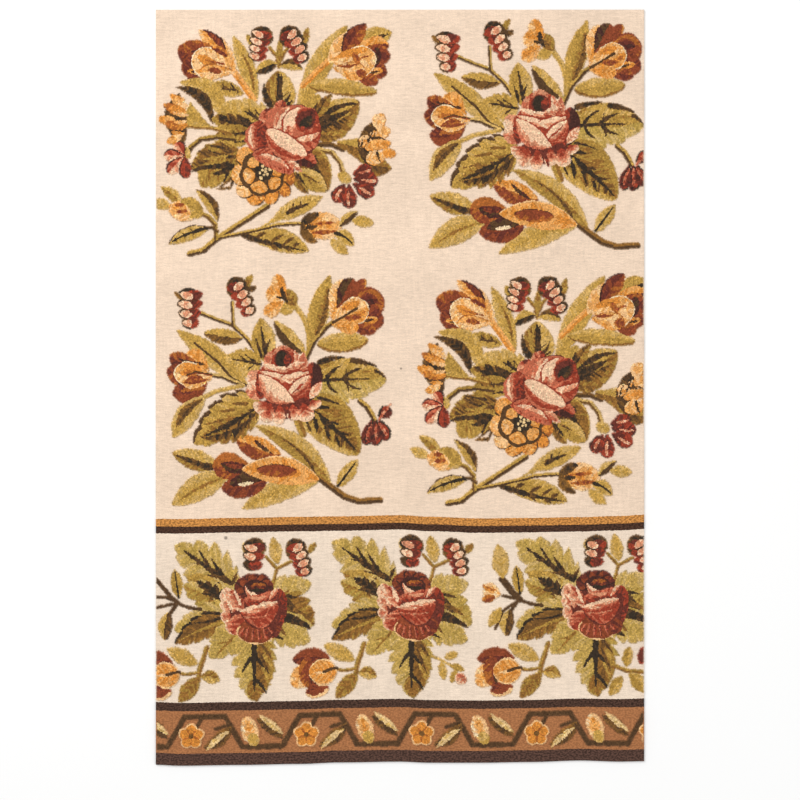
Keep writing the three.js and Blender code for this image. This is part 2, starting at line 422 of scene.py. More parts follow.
YARNS = {
    "coal": "#3A3026",
    "bark": "#573F29",
    "umber": "#74522C",
    "bronze": "#8F6430",
    "moss": "#A27D3A",
    "olive": "#AE8840",
    "gold": "#BE9549",
    "straw": "#CAA35F",
    "wheat": "#DFBB84",
    "cream": "#F0D0A6",
    "reed": "#AE8F46",
    "rush": "#BC9A51",
    "sage": "#C7A667",
    "plum": "#4A2D27",
    "maroon": "#68342A",
    "brick": "#983F2C",
    "coral": "#BD664A",
    "salmon": "#D68F6C",
    "blush": "#EDC09C",
    "russet": "#87442B",
    "rust": "#A9622E",
    "orange": "#D4873A",
    "apricot": "#E2A05A",
    "peach": "#F0BC84",
}

# Yarns of one family, from dark to light. A form names the darkest and lightest that it takes.
LEAF = ("coal", "bark", "umber", "bronze", "moss", "olive", "gold", "straw", "wheat")
GREEN = ("coal", "bark", "umber", "bronze", "moss", "reed", "rush", "sage", "wheat")
ROSE = ("coal", "plum", "maroon", "brick", "coral", "salmon", "blush")
TULIP = ("bark", "plum", "maroon", "russet", "rust", "orange", "apricot", "peach", "cream")

# The half width of each form along it, as a share of its greatest half width. s runs from the
# base, 0, to the tip, 1.
FORMS = {
    "leaf": lambda s: np.sin(np.pi * s) ** 0.75,
    "lance": lambda s: np.sin(np.pi * s**1.15) ** 0.7,
    "heart": lambda s: np.sin(np.pi * s**0.7) ** 0.6,
    "petal": lambda s: np.sin(np.pi * s**1.6) ** 0.55,
    "bud": lambda s: np.sin(np.pi * s) ** 0.5,
    "horn": lambda s: 0.16 + 0.84 * s**1.3,
    "stroke": lambda s: np.minimum(1, 0.6 + 3 * s) * np.sqrt(1 - s),
}

# How a hand works a form: how far its outline sways and steps, how far its midline wanders, how
# its streaks lean forward and how wide and long they are, and how wide its veins start.
OUTLINE_SWAY = 1.2
OUTLINE_STEP = 1.3
MIDLINE_SWAY = 1.6
STREAK_LEAN = 0.75
STREAK_WIDE = 4.2
STREAK_LONG = 17
GRAIN = 0.10
VEIN_WIDE = 4.6

# How high a form stands at its edge, how much higher in its middle, and how high a stem stands,
# as shares of the pile's height.
EDGE_RISE = 0.84
MIDDLE_RISE = 0.16
STEM_RISE = 0.85


def rgb(name):
    """A yarn's colour, from 0 to 1."""
    return np.array(parted(YARNS[name]))


class Chart:
    """Which yarn each cell of a bunch is worked in, and how high it stands."""

    def __init__(self, left, right, low, high, seed):
        self.x, self.y = np.meshgrid(
            np.arange(left, right, CELL) + CELL / 2, np.arange(low, high, CELL) + CELL / 2
        )
        self.yarn = np.zeros(self.x.shape + (3,))
        self.rise = np.zeros(self.x.shape)
        self.seed = seed

    def near(self, xs, ys, reach):
        """The part of the chart round some points."""
        spans = []
        for places, start in ((ys, self.y[0, 0]), (xs, self.x[0, 0])):
            first = int((min(places) - reach - start) / CELL)
            last = int((max(places) + reach - start) / CELL) + 2
            spans.append(slice(max(0, first), max(0, last)))
        return tuple(spans)

    def lay(self, part, inside, colours, lift):
        """Works the cells of a part that are inside a form."""
        self.yarn[part][inside] = colours[inside] if colours.ndim == 3 else colours
        self.rise[part][inside] = lift[inside] if isinstance(lift, np.ndarray) else lift

    def work(
        self, ramp, form, x, y, tip_x, tip_y, wide, bow=0, left=(5, 7), right=None, rib=0, veins=0,
        teeth=0, cut=0.24, edge=None, across=0.0, along=0.0, hatch=0.36, rim=0.32,
    ):
        """One leaf or petal from its base to its tip, its middle bowed to the left by bow.

        left and right are the darkest and lightest yarns on each side of its middle, right being
        as left where it isn't given. rib is the width of a dark midrib, and veins are how many
        run out from it. teeth are how many its outline has, cut how deep they are. edge is a
        side, a yarn and a width. across and along shade it, hatch is how much it is streaked,
        and rim is how much lighter its edges are than its middle.
        """
        right = left if right is None else right
        part = self.near((x, tip_x), (y, tip_y), wide / 2 + abs(bow) + 4)
        px, py = self.x[part], self.y[part]
        long = np.hypot(tip_x - x, tip_y - y)
        ahead_x, ahead_y = (tip_x - x) / long, (tip_y - y) / long
        s = ((px - x) * ahead_x + (py - y) * ahead_y) / long
        clipped = np.clip(s, 0, 1)
        off = (py - y) * ahead_x - (px - x) * ahead_y - bow * 4 * clipped * (1 - clipped)
        half = wide / 2 * FORMS[form](clipped)
        if teeth:
            half = half * (1 - cut + cut * np.sqrt((clipped * teeth + np.where(off > 0, 0.45, 0)) % 1))
        wobble = OUTLINE_SWAY * uneven(px + self.seed * 31, py, 9, 9)
        wobble += OUTLINE_STEP * uneven(px, py + self.seed, 1.7, 1.7)
        inside = (s >= 0) & (s <= 1) & (np.abs(off) < half + wobble)
        u = np.clip(off / np.maximum(half, 1), -1, 1)

        lean = s * long - np.abs(off) * STREAK_LEAN
        strokes = uneven(lean + self.seed * 17 + x, np.abs(off) + y, STREAK_WIDE, STREAK_LONG)
        grain = uneven(px * 3 + x, py * 3 + self.seed, 7, 7)
        tone = 0.5 + hatch * strokes + GRAIN * grain + along * (s - 0.5) * 2
        tone = tone + rim * (np.abs(u) - 0.5) + across * u / 2
        on_left = off + MIDLINE_SWAY * uneven(px + y, py + x, 5, 5) > 0
        lows, highs = np.where(on_left, left[0], right[0]), np.where(on_left, left[1], right[1])
        tone = np.floor(lows + np.clip(tone, 0, 0.999) * (highs - lows + 1)).astype(int)
        if veins:
            pitch = long / (veins + 0.7)
            passed = lean + pitch * 0.35
            vein, place = np.floor(passed / pitch), passed % pitch
            reach = 0.62 + 0.22 * uneven(vein * 9 + x, u * 0 + y, 3, 3)
            thick = VEIN_WIDE * (1 - np.abs(u) / np.maximum(reach, 0.1))
            tone = np.where((place < thick) & (s < 0.9) & (s > 0.04), 1, tone)
        if rib:
            uneven_rib = 0.85 + 0.35 * uneven(s * long + x, off * 0 + y, 8, 8)
            on = (np.abs(off) < rib / 2 * (1.15 - 0.9 * clipped) * uneven_rib + 0.4) & (s < 0.92)
            tone = np.where(on, 0 if ramp[0] == "coal" else 1, tone)
        if edge is not None:
            side, yarn, thick = edge
            thick = thick * (0.8 + 0.4 * uneven(s * long + y, off * 0 + x, 9, 9))
            band = half - np.abs(off) < thick
            if side == "left":
                band &= off > 0
            if side == "right":
                band &= off < 0
            if side == "tip":
                band = (band & (s > 0.45)) | (s * long > long - thick)
            tone = np.where(band, yarn, tone)
        colours = np.array([rgb(name) for name in ramp])[np.clip(tone, 0, len(ramp) - 1)]
        self.lay(part, inside, colours, EDGE_RISE + MIDDLE_RISE * np.sqrt(1 - u * u))

    def shade(self, tones, *strokes):
        """Pointed strokes of another yarn over a leaf."""
        for x, y, tip_x, tip_y, wide, bow in strokes:
            self.work(LEAF, "stroke", x, y, tip_x, tip_y, wide, bow, tones)

    def stem(self, points, wide, upper, under=None):
        """A stem along some points, in two yarns where it has an under side."""
        for (x, y), (tip_x, tip_y) in zip(points, points[1:]):
            part = self.near((x, tip_x), (y, tip_y), wide)
            px, py = self.x[part], self.y[part]
            long = max(np.hypot(tip_x - x, tip_y - y), 0.1)
            ahead_x, ahead_y = (tip_x - x) / long, (tip_y - y) / long
            ahead = (px - x) * ahead_x + (py - y) * ahead_y
            off = (py - y) * ahead_x - (px - x) * ahead_y
            away = np.hypot(off, ahead - np.clip(ahead, 0, long))
            inside = away < wide / 2 + 0.7 * uneven(px, py, 7, 7)
            facing = off * (1 if tip_x >= x else -1) > 0.4 * uneven(px, py, 5, 5)
            colours = np.where(facing[..., None], rgb(upper), rgb(under or upper))
            self.lay(part, inside, colours, STEM_RISE)

    def disc(self, x, y, wide, yarn, scallops=0, depth=0.0, turn=0.0, lift=1.0, high=None):
        """A round or scalloped patch of one yarn."""
        part = self.near((x,), (y,), max(wide, high or 0) / 2 + 3)
        px, py = self.x[part], self.y[part]
        dx, dy = px - x, (py - y) * (wide / high if high else 1)
        scallop = np.abs(np.cos(scallops * (np.arctan2(dy, dx) - turn) / 2))
        reach = wide / 2 * (1 - depth * (1 - scallop))
        inside = np.hypot(dx, dy) < reach + uneven(px, py, 8, 8)
        self.lay(part, inside, rgb(yarn), lift)

    def ladder_bud(
        self, x, y, tip_x, tip_y, wide, rows=4, lit=1, bow=0, narrow=0.72, domed=True, plain=0,
    ):
        """A hanging bud of stacked bells under a dark dome, each pale on its lit side.

        lit is 1 where its pale side is on the left of the way to its tip, and -1 on the right.
        narrow is how narrow its end bells are, as a share, and plain is how many of the lowest
        have no pale side.
        """
        long = np.hypot(tip_x - x, tip_y - y)
        ahead_x, ahead_y = (tip_x - x) / long, (tip_y - y) / long

        def at(along, aside):
            """A point of the bud from its length along and its way to the lit side."""
            aside = (aside + bow * 4 * along * (1 - along / long) / long) * lit
            return x + along * ahead_x - aside * ahead_y, y + along * ahead_y + aside * ahead_x

        pitch = long / (rows + 0.5)
        if domed:
            self.work(LEAF, "bud", *at(long * 0.42, 1.5), *at(long + 4, 0), wide * 0.98, 0, (0, 2))
        for row in range(rows):
            start = row * pitch
            half = wide / 2 * (narrow + (1 - narrow) * np.sin(2 * (row + 0.8) / rows))
            foot, tip = at(start - 2, 4), at(start + pitch * 1.35, 3)
            self.work(LEAF, "bud", *foot, *tip, half * 1.68, 0, (0, 1))
            foot, tip = at(start, -half * 0.28), at(start + pitch * 1.15, -half * 0.1)
            self.work(ROSE, "bud", *foot, *tip, half * 1.35, 0, (2, 3))
            if row < plain:
                continue
            foot, tip = at(start + pitch * 0.1, half * 0.34), at(start + pitch * 0.92, half * 0.22)
            self.work(ROSE, "bud", *foot, *tip, half * 1.02, 2, (5, 6), hatch=0.2)


# The forms that the bunches are mostly made of: their yarns and their outline.
FORM_OF = {
    "leaf": (LEAF, "leaf"),
    "petal": (TULIP, "petal"),
    "fold": (TULIP, "bud"),
    "lip": (ROSE, "leaf"),
    "curl": (ROSE, "bud"),
}


def workers(chart, *names):
    """Functions with short names, that work these forms on a chart."""
    return [partial(chart.work, *FORM_OF[name]) for name in names]


# A tuft takes up two by two cells. How high the pile stands, how much a tuft's middle is above
# its sides, how unevenly it is sheared and how far it leans are in millimetres. So are how deep
# the pile's skirt is sunk into the cloth, and how far the pile stays from the cloth's sides.
TUFT_CELLS = 2
PILE_HIGH = 3.0
TUFT_CROWN = 0.34
SHEARING = 0.22
TUFT_SWAY = 0.45
SUNK = 0.8
SIDE_MARGIN = 2.0
# How unevenly the wool took its dye, within a tuft and from tuft to tuft.
DYE_UNEVEN = 0.06
TUFT_UNEVEN = 0.07
SCREEN_GAMMA = 2.2
# Below this share of its height the pile is too short for tufts with a crown.
CROWNED = 0.7
PILE_ROUNDING = 0.85
# The share of the cloth's colour in the splayed tufts outside an edge, and just inside it: partly the
# cloth showing through them, partly painted light that lifts the shade on the pile's steep edge.
SPLAYED_AND_EDGE_LIGHT = 0.7
THINNED_AND_EDGE_LIGHT = 0.28

pile_material, shader, nodes = matte("dyed wool pile", roughness=0.94, sheen=0.1)
yarn = nodes.node("ShaderNodeAttribute", attribute_name="yarn")
place = nodes.node("ShaderNodeTexCoord")
place = Value(place.tree, place.socket.node.outputs["Object"])
fibre = place.noise(1500.0)
tuft = place.noise(420.0, 2.0, 0.6)
dye = place.noise(40.0)
shade = fibre.ramp(0.25, 0.75, 0.82, 1.16) * tuft.ramp(0.25, 0.75, 0.84, 1.14)
shade = shade * dye.ramp(0.3, 0.7, 0.95, 1.05)
relief = fibre + tuft * 1.5
normal = nodes.node("ShaderNodeBump", {"Strength": 0.6, "Distance": 0.001, "Height": relief})
tree = pile_material.node_tree
tree.links.new(yarn.tinted(shade).socket, shader.inputs["Base Color"])
tree.links.new(normal.socket, shader.inputs["Normal"])


def neighbours(grid):
    """The grid shifted one place each way, with its own edge repeated."""
    padded = np.pad(grid, [(1, 1), (1, 1)] + [(0, 0)] * (grid.ndim - 2), mode="edge")
    return padded[2:, 1:-1], padded[:-2, 1:-1], padded[1:-1, 2:], padded[1:-1, :-2]


def worked(name, chart, middle_x, middle_y, cloth_colour):
    """The pile of one chart as a piece on cloth of a colour, its rose at the given place."""
    in_cloth = np.abs(chart.x + middle_x) < WIDTH * MM / 2 - SIDE_MARGIN
    rise = np.where(in_cloth, chart.rise, 0.0)
    kept = rise > 0
    shown = np.array(parted(cloth_colour))
    by_edge = kept & ~np.logical_and.reduce(neighbours(kept))
    # Edge tufts are lightened towards the cloth: partly the cloth showing through, partly painted light.
    colour = chart.yarn + by_edge[..., None] * THINNED_AND_EDGE_LIGHT * (shown - chart.yarn)
    for side, side_colour in zip(neighbours(rise), neighbours(chart.yarn)):
        fill = (~kept) & (side > 0)
        colour = np.where(fill[..., None], side_colour + SPLAYED_AND_EDGE_LIGHT * (shown - side_colour), colour)
        kept = kept | fill
    rows, columns = rise.shape
    random = np.random.default_rng(chart.seed)
    row, column = np.indices(rise.shape)
    dye = random.normal(1, DYE_UNEVEN, rise.shape)
    dye = dye * random.normal(1, TUFT_UNEVEN, rise.shape)[row // TUFT_CELLS, column // TUFT_CELLS]
    colour = np.clip(colour * dye[..., None], 0, 1)
    ringed = np.pad(rise, 1)
    corner = (ringed[1:, 1:] + ringed[:-1, 1:] + ringed[1:, :-1] + ringed[:-1, :-1]) / 4
    odd_row, odd_column = np.indices(corner.shape) % TUFT_CELLS
    crown = TUFT_CROWN * (odd_row + odd_column - 1) + random.normal(0, SHEARING, corner.shape)
    high = np.where(corner > 0, PILE_HIGH * corner**PILE_ROUNDING + crown * (corner > CROWNED), -SUNK)
    sway_x, sway_y = random.uniform(-TUFT_SWAY, TUFT_SWAY, (2, *corner.shape))

    pile = bmesh.new()
    bmesh.ops.create_grid(pile, x_segments=columns, y_segments=rows, size=0.5)
    bmesh.ops.scale(pile, verts=pile.verts, vec=(columns, rows, 1.0))
    bmesh.ops.translate(pile, verts=pile.verts, vec=(columns / 2, rows / 2, 0.0))
    bare = [face for face, stays in zip(pile.faces, kept.ravel()) if not stays]
    bmesh.ops.delete(pile, geom=bare, context="FACES")
    piece = placed(name, pile, pile_material)

    mesh = piece.data
    corners = np.empty(len(mesh.loops), dtype=int)
    mesh.loops.foreach_get("vertex_index", corners)
    points = np.empty(len(mesh.vertices) * 3)
    mesh.vertices.foreach_get("co", points)
    points = points.reshape(-1, 3)
    middles = points[corners].reshape(-1, 4, 3).mean(axis=1)
    cell_column, cell_row = middles[:, 0].astype(int), middles[:, 1].astype(int)
    dyed = colour[cell_row, cell_column] ** SCREEN_GAMMA
    dyed = np.column_stack([dyed, np.ones(len(dyed))]).repeat(4, axis=0)
    layer = mesh.color_attributes.new("yarn", "FLOAT_COLOR", "CORNER")
    layer.data.foreach_set("color", dyed.ravel())

    left, low = chart.x.min() - CELL / 2 + middle_x, chart.y.min() - CELL / 2 + middle_y

    def knotted(column, row, z):
        """Sets the corners of the tufts where they are knotted into the cloth."""
        c, r = column.round().astype(int), row.round().astype(int)
        x = (left + column * CELL + sway_x[r, c]) / MM
        y = (low + row * CELL + sway_y[r, c]) / MM
        return x, pulled(x, y), cloth_top(x, y) + high[r, c] / MM

    moved(mesh, knotted)
    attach(piece, "root")
    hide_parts("rug")
    return piece


# The first bouquet: a rose over a marigold, with two tulips, two ladder buds and pale and red
# flowers on long stems, and a budding sprig below. It is worked twice, and the loom's edge
# cuts into the second one.
# Here are the middles of their roses, in millimetres on the cloth.
MARIGOLD_BOUQUETS = ((-234, 511.5), (282, 11.5))


def marigold(chart, x, y):
    """A round flower of two uneven rings of petals, outlined in dark wool, with a dotted eye."""

    def ring(root, edge, *petals):
        """Petals that start at a share of their reach, each with an outline."""
        for tip_x, tip_y, wide, tones in petals:
            foot_x, foot_y = x + tip_x * root, y + tip_y * root
            chart.work(
                TULIP, "petal", foot_x, foot_y, x + tip_x, y + tip_y, wide, 0, tones,
                rim=-0.3, edge=edge,
            )

    chart.disc(x + 2, y, 104, "umber", lift=0.9)
    ring(
        0.2, ("left", 0, 3.4),
        (0, 64, 42, (5, 6)),
        (50, 40, 42, (4, 6)),
        (64, -14, 42, (3, 5)),
        (54, -44, 30, (4, 5)),
        (22, -62, 36, (4, 6)),
        (-20, -65, 40, (4, 6)),
        (-49, -45, 37, (6, 7)),
        (-63, -6, 44, (5, 7)),
        (-49, 46, 40, (5, 6)),
    )
    chart.disc(x, y, 95, "bark", scallops=6, depth=0.1, turn=0.3, lift=0.9)
    ring(
        0.3, ("all", 0, 3.2),
        (8, 39, 34, (5, 6)),
        (39, 6, 32, (4, 6)),
        (32, -28, 33, (5, 6)),
        (-10, -40, 38, (5, 6)),
        (-39, -8, 37, (5, 7)),
        (-26, 29, 30, (5, 6)),
    )
    chart.disc(x + 2, y + 2, 38, "coal", scallops=7, depth=0.2, lift=0.92)
    for step in range(9):
        angle, away = step * 2.4, 3 + 1.5 * step
        chart.disc(x + 2 + away * 0.85 * np.cos(angle), y + 2 + away * np.sin(angle), 6.5, "wheat")


def bouquet_a(chart):
    """Works the first bouquet, from what lies behind to the rose in front."""
    work = chart.work
    leaf, petal, fold, lip, curl = workers(chart, "leaf", "petal", "fold", "lip", "curl")

    # the lower sprig
    chart.stem([(-186, -242), (-160, -236), (-133, -214), (-84, -182), (-31, -148)], 12, "gold", "bark")
    chart.stem([(-133, -212), (-135, -184), (-150, -168), (-166, -161)], 9, "olive", "umber")
    leaf(-130, -178, -174, -114, 24, -8, (5, 7), (1, 2))
    chart.stem([(-130, -198), (-142, -190), (-160, -190)], 6, "umber", "bark")
    leaf(-146, -190, -228, -222, 29, -4, (5, 7), (6, 7), rib=8, veins=4, edge=("right", 1, 3))
    leaf(-198, -148, -244, -108, 22, -3, (3, 5), (6, 7))
    leaf(-222, -150, -262, -136, 22, 0, (6, 7))
    fold(-170, -164, -228, -150, 42, 0, (6, 7), (5, 7))
    work(LEAF, "bud", -162, -168, -202, -134, 38, 0, (5, 7), (4, 6), hatch=0.5)
    fold(-184, -164, -226, -150, 32, 0, (6, 7), (5, 7))
    fold(-196, -144, -216, -146, 9, 0, (3, 4))
    fold(-190, -157, -214, -159, 9, 0, (3, 4))
    work(LEAF, "horn", -44, -192, 0, -166, 16, 0, (6, 7))
    leaf(-20, -176, 80, -130, 36, 2, (6, 7), (5, 7), hatch=0.25)
    chart.shade(
        (0, 2), (6, -164, 52, -144, 11, 2), (20, -156, 22, -142, 5, 0), (34, -150, 38, -138, 5, 0),
    )
    work(LEAF, "lance", -76, -206, 52, -238, 46, 7, (5, 7), rim=0.5)
    chart.shade((0, 1), (-84, -204, 48, -238, 13, -4))
    for x, y, tip_x, tip_y in (
        (-52, -212, -32, -202),
        (-26, -224, 2, -206),
        (-2, -230, 22, -212),
        (18, -236, 36, -222),
        (-30, -224, -10, -238),
        (2, -232, 20, -242),
    ):
        leaf(x, y, tip_x, tip_y, 8, 2, (1, 2))
    bud_stem = [(-122, -210), (-92, -204), (-62, -198), (-36, -192), (-12, -186), (18, -184), (46, -184)]
    chart.stem(bud_stem, 8, "gold", "bark")
    fold(44, -184, 118, -194, 56, 0, (5, 7), along=0.3)
    work(LEAF, "bud", 36, -186, 72, -164, 20, 2, (0, 2))
    work(LEAF, "bud", 38, -182, 68, -222, 20, -8, (1, 3))
    work(LEAF, "bud", 46, -192, 70, -188, 12, 0, (0, 1))
    fold(54, -186, 104, -182, 8, 0, (3, 5))
    fold(58, -202, 106, -200, 9, 0, (3, 4))
    leaf(113, -190, 150, -160, 20, 3, (6, 7), (1, 1))
    leaf(137, -178, 182, -184, 24, 0, (6, 7))
    leaf(102, -202, 142, -228, 28, 4, (5, 7), rib=7)
    leaf(94, -214, 130, -246, 24, 0, (6, 7))

    # the long leaves behind the tulips
    work(LEAF, "lance", 28, 30, 128, 212, 46, 9, (6, 7), (5, 6), hatch=0.2)
    work(LEAF, "bud", 52, 92, 188, 78, 34, 4, (6, 7), (5, 6), edge=("right", 3, 5), hatch=0.2)
    leaf(-52, 60, -99, 192, 34, -3, (6, 7), (5, 7), hatch=0.2)
    work(LEAF, "bud", -58, 82, -80, 154, 7, -5, (2, 4))
    leaf(-78, 76, -145, 96, 32, 0, (5, 7), (3, 6), veins=4, teeth=4)
    chart.shade((0, 2), (-96, 82, -104, 98, 5, 0), (-112, 84, -122, 96, 5, 0), (-92, 84, -138, 92, 4, 3))

    # the right tulip
    chart.stem([(40, 92), (70, 122), (104, 152)], 12, "apricot", "orange")
    leaf(150, 168, 218, 198, 44, 4, (5, 7))
    leaf(152, 170, 214, 196, 11, 0, (0, 1))
    work(TULIP, "leaf", 92, 134, 142, 202, 30, 5, (6, 7))
    work(TULIP, "lance", 118, 148, 166, 216, 36, 4, (2, 3), (3, 4), edge=("left", 1, 4))
    petal(140, 158, 212, 174, 34, 6, (5, 6), (2, 3))
    petal(140, 150, 215, 150, 42, 4, (2, 4), (2, 3))
    petal(142, 124, 208, 118, 40, 6, (2, 4), (2, 3), edge=("left", 3, 4))
    fold(164, 116, 200, 122, 14, 0, (5, 6))
    fold(168, 116, 194, 120, 6, 0, (0, 1))
    petal(140, 114, 190, 98, 26, 0, (3, 4), (3, 3))
    fold(120, 158, 184, 160, 12, 3, (0, 1), (1, 2))
    fold(182, 128, 188, 168, 22, 0, (1, 2), (0, 1))
    petal(96, 142, 187, 144, 64, -4, (5, 7), (6, 7), rim=-0.4, edge=("tip", 8, 3))
    fold(108, 150, 160, 160, 16, 2, (5, 5))
    petal(100, 128, 166, 116, 38, 0, (6, 7), (5, 7), rim=-0.4, edge=("left", 4, 2))
    fold(106, 132, 148, 134, 6, -3, (3, 4))
    fold(140, 158, 152, 134, 13, 0, (3, 4), (4, 4))
    fold(152, 142, 172, 150, 5, 3, (3, 4))
    fold(146, 118, 168, 114, 18, 0, (3, 4))

    # the left tulip
    chart.stem([(-58, 64), (-80, 96), (-106, 132)], 13, "apricot", "orange")
    work(TULIP, "leaf", -94, 112, -168, 204, 42, -6, (6, 7), (5, 7))
    work(TULIP, "leaf", -112, 146, -160, 204, 30, -2, (5, 6), (2, 3), edge=("right", 1, 4))
    petal(-136, 152, -210, 164, 48, 6, (2, 3), (3, 4), edge=("left", 2, 6))
    work(TULIP, "lance", -130, 160, -196, 178, 24, 0, (3, 3), (3, 4))
    petal(-140, 138, -202, 124, 50, 0, (2, 3), edge=("tip", 3, 4))
    petal(-124, 118, -190, 104, 32, -4, (3, 4), (2, 3))
    fold(-132, 114, -190, 122, 18, -4, (5, 6))
    fold(-150, 114, -184, 120, 7, -2, (0, 1))
    fold(-112, 160, -184, 160, 13, 2, (1, 2), (0, 2))
    fold(-168, 166, -182, 124, 13, 0, (1, 2), (1, 3))
    petal(-96, 118, -181, 152, 62, 2, (6, 7), rim=-0.4, edge=("tip", 8, 3))
    fold(-132, 136, -170, 152, 18, 2, (5, 5))
    petal(-100, 122, -168, 118, 32, 0, (6, 7), (5, 6), rim=-0.4, edge=("right", 4, 2))
    fold(-110, 150, -142, 166, 15, -5, (2, 3), (4, 5))
    fold(-114, 134, -156, 144, 5, 0, (3, 4))
    fold(-122, 120, -150, 124, 12, 0, (3, 4))

    # the ladder buds and their small leaves
    leaf(-54, 166, -72, 194, 15, 0, (4, 6))
    leaf(40, 168, 50, 208, 15, 0, (3, 5))
    chart.stem([(-8, 130), (-12, 150), (-26, 168)], 7, "moss", "bronze")
    chart.stem([(-8, 134), (2, 158), (16, 174)], 7, "moss", "bronze")
    leaf(-7, 136, -7, 184, 14, 0, (3, 5))
    leaf(-10, 136, -54, 116, 26, -5, (0, 1), (5, 7))
    leaf(-8, 130, 40, 124, 24, 8, (1, 2), (5, 7))
    chart.ladder_bud(-50, 142, -36, 206, 46, bow=4)
    chart.ladder_bud(38, 138, 4, 206, 46, lit=-1, bow=4)

    # the leaves behind the rose, from left to right
    leaf(-116, 26, -206, 100, 44, -22, (6, 7), (5, 7), hatch=0.2)
    leaf(-140, 14, -214, 90, 24, -22, (0, 2))
    work(LEAF, "heart", -30, 8, -124, 52, 84, 0, (5, 7), (6, 7), teeth=3)
    work(LEAF, "heart", -30, 12, -80, 44, 46, 0, (5, 6), rib=6, veins=3)
    leaf(-56, 12, -142, 26, 52, 0, (4, 6), teeth=3)
    leaf(-52, 8, -136, 30, 34, 0, (1, 4), (0, 3), hatch=0.6, teeth=4, cut=0.5)
    chart.shade((0, 1), (-56, 14, -128, 26, 14, 3), (-70, 18, -96, 36, 8, 0), (-62, 12, -110, 4, 10, -2))
    leaf(-56, -8, -136, -8, 46, 0, (3, 6), (3, 4), veins=3, hatch=0.5)
    chart.shade((0, 1), (-60, 0, -104, -2, 8, 2), (-60, -16, -98, -22, 6, 0))
    chart.shade(
        (0, 1), (-38, 20, -68, 44, 8, 3), (-40, 26, -56, 44, 6, 0), (-36, 24, -42, 44, 5, 0),
        (-66, 22, -94, 32, 6, 0),
    )
    work(LEAF, "heart", -6, 44, -8, 122, 66, 0, (2, 4), (6, 7), rib=16, veins=2, hatch=0.5)
    chart.shade(
        (0, 1), (-22, 48, -38, 96, 16, 4), (-8, 48, -2, 116, 12, 0), (-4, 50, 18, 84, 8, -3),
        (2, 48, 20, 62, 8, 0),
    )
    chart.shade((4, 6), (-16, 62, -24, 108, 9, 2), (-18, 80, -14, 118, 7, 0))
    work(LEAF, "heart", 52, 2, 152, 60, 80, -6, (5, 7), (2, 4), rim=0.5)
    leaf(60, -6, 116, -10, 28, 0, (3, 5), (2, 4), hatch=0.5)
    leaf(60, 12, 138, 36, 36, -6, (3, 5), (0, 3), hatch=0.6)
    leaf(62, 12, 150, 56, 12, 12, (0, 1))
    chart.shade((0, 1), (66, 14, 132, 42, 22, -2), (74, 6, 104, 18, 14, 0))
    work(LEAF, "heart", 46, 22, 72, 74, 40, 0, (5, 6), (5, 7), hatch=0.3)
    leaf(58, 22, 98, 76, 26, 0, (1, 3), (3, 4), hatch=0.5, teeth=3)
    chart.shade((0, 1), (56, 24, 70, 62, 9, 0), (62, 26, 82, 56, 6, 0))

    # the left pale flower on its green tube
    work(LEAF, "horn", -146, 8, -198, 32, 62, -2, (6, 7), (5, 6), hatch=0.2)
    chart.stem([(-196, 14), (-170, 10), (-142, 8), (-108, 0)], 8, "gold", "bronze")
    leaf(-198, -22, -208, 78, 46, 12, (0, 2))
    for from_x, from_y, to_x, to_y, wide, tones in (
        (-196, 62, -226, 74, 16, (5, 6)),
        (-188, 50, -222, 66, 15, (6, 7)),
        (-192, 38, -238, 56, 19, (4, 6)),
        (-188, 34, -220, 40, 10, (6, 7)),
        (-214, 22, -248, 28, 20, (5, 6)),
        (-190, 14, -236, 16, 20, (4, 5)),
        (-192, 22, -218, 20, 9, (6, 7)),
        (-196, -2, -222, 0, 10, (5, 6)),
        (-202, -6, -232, -20, 17, (5, 7)),
    ):
        fold(from_x, from_y, to_x, to_y, wide, 2, tones, along=-0.3, rim=-0.2)

    # the small pink flower and its stem
    chart.stem([(-194, -48), (-184, -30), (-164, -14), (-128, -10), (-96, -14)], 10, "moss", "bark")
    work(LEAF, "bud", -186, -52, -202, -30, 22, 0, (6, 7))
    for to_x, to_y, left, right in (
        (-212, -20, (4, 6), (3, 3)),
        (-238, -46, (5, 6), (3, 4)),
        (-230, -82, (5, 6), (3, 4)),
        (-194, -92, (2, 3), (3, 3)),
    ):
        work(ROSE, "petal", -196, -46, to_x, to_y, 26, 0, left, right, edge=("right", 1, 3.4))

    # the big leaf on the left, dark above and pale below
    work(LEAF, "heart", -84, -38, -164, -108, 92, -10, (3, 6), (4, 6), teeth=4, hatch=0.5)
    leaf(-86, -36, -184, -72, 70, 0, (3, 5), (1, 4), teeth=5, rim=0.4, hatch=0.6)
    chart.shade(
        (0, 1), (-96, -70, -184, -78, 18, -6), (-100, -66, -140, -84, 16, 4),
        (-108, -76, -118, -100, 9, 0),
    )
    chart.shade(
        (0, 2), (-92, -50, -150, -36, 10, 3), (-108, -34, -152, -26, 8, 0),
        (-98, -92, -104, -112, 8, 0),
    )
    chart.shade((4, 5), (-108, -46, -160, -54, 6, 2), (-120, -60, -166, -66, 5, 0))
    chart.shade((1, 3), (-104, -112, -134, -114, 8, 0), (-96, -88, -128, -112, 6, 0))

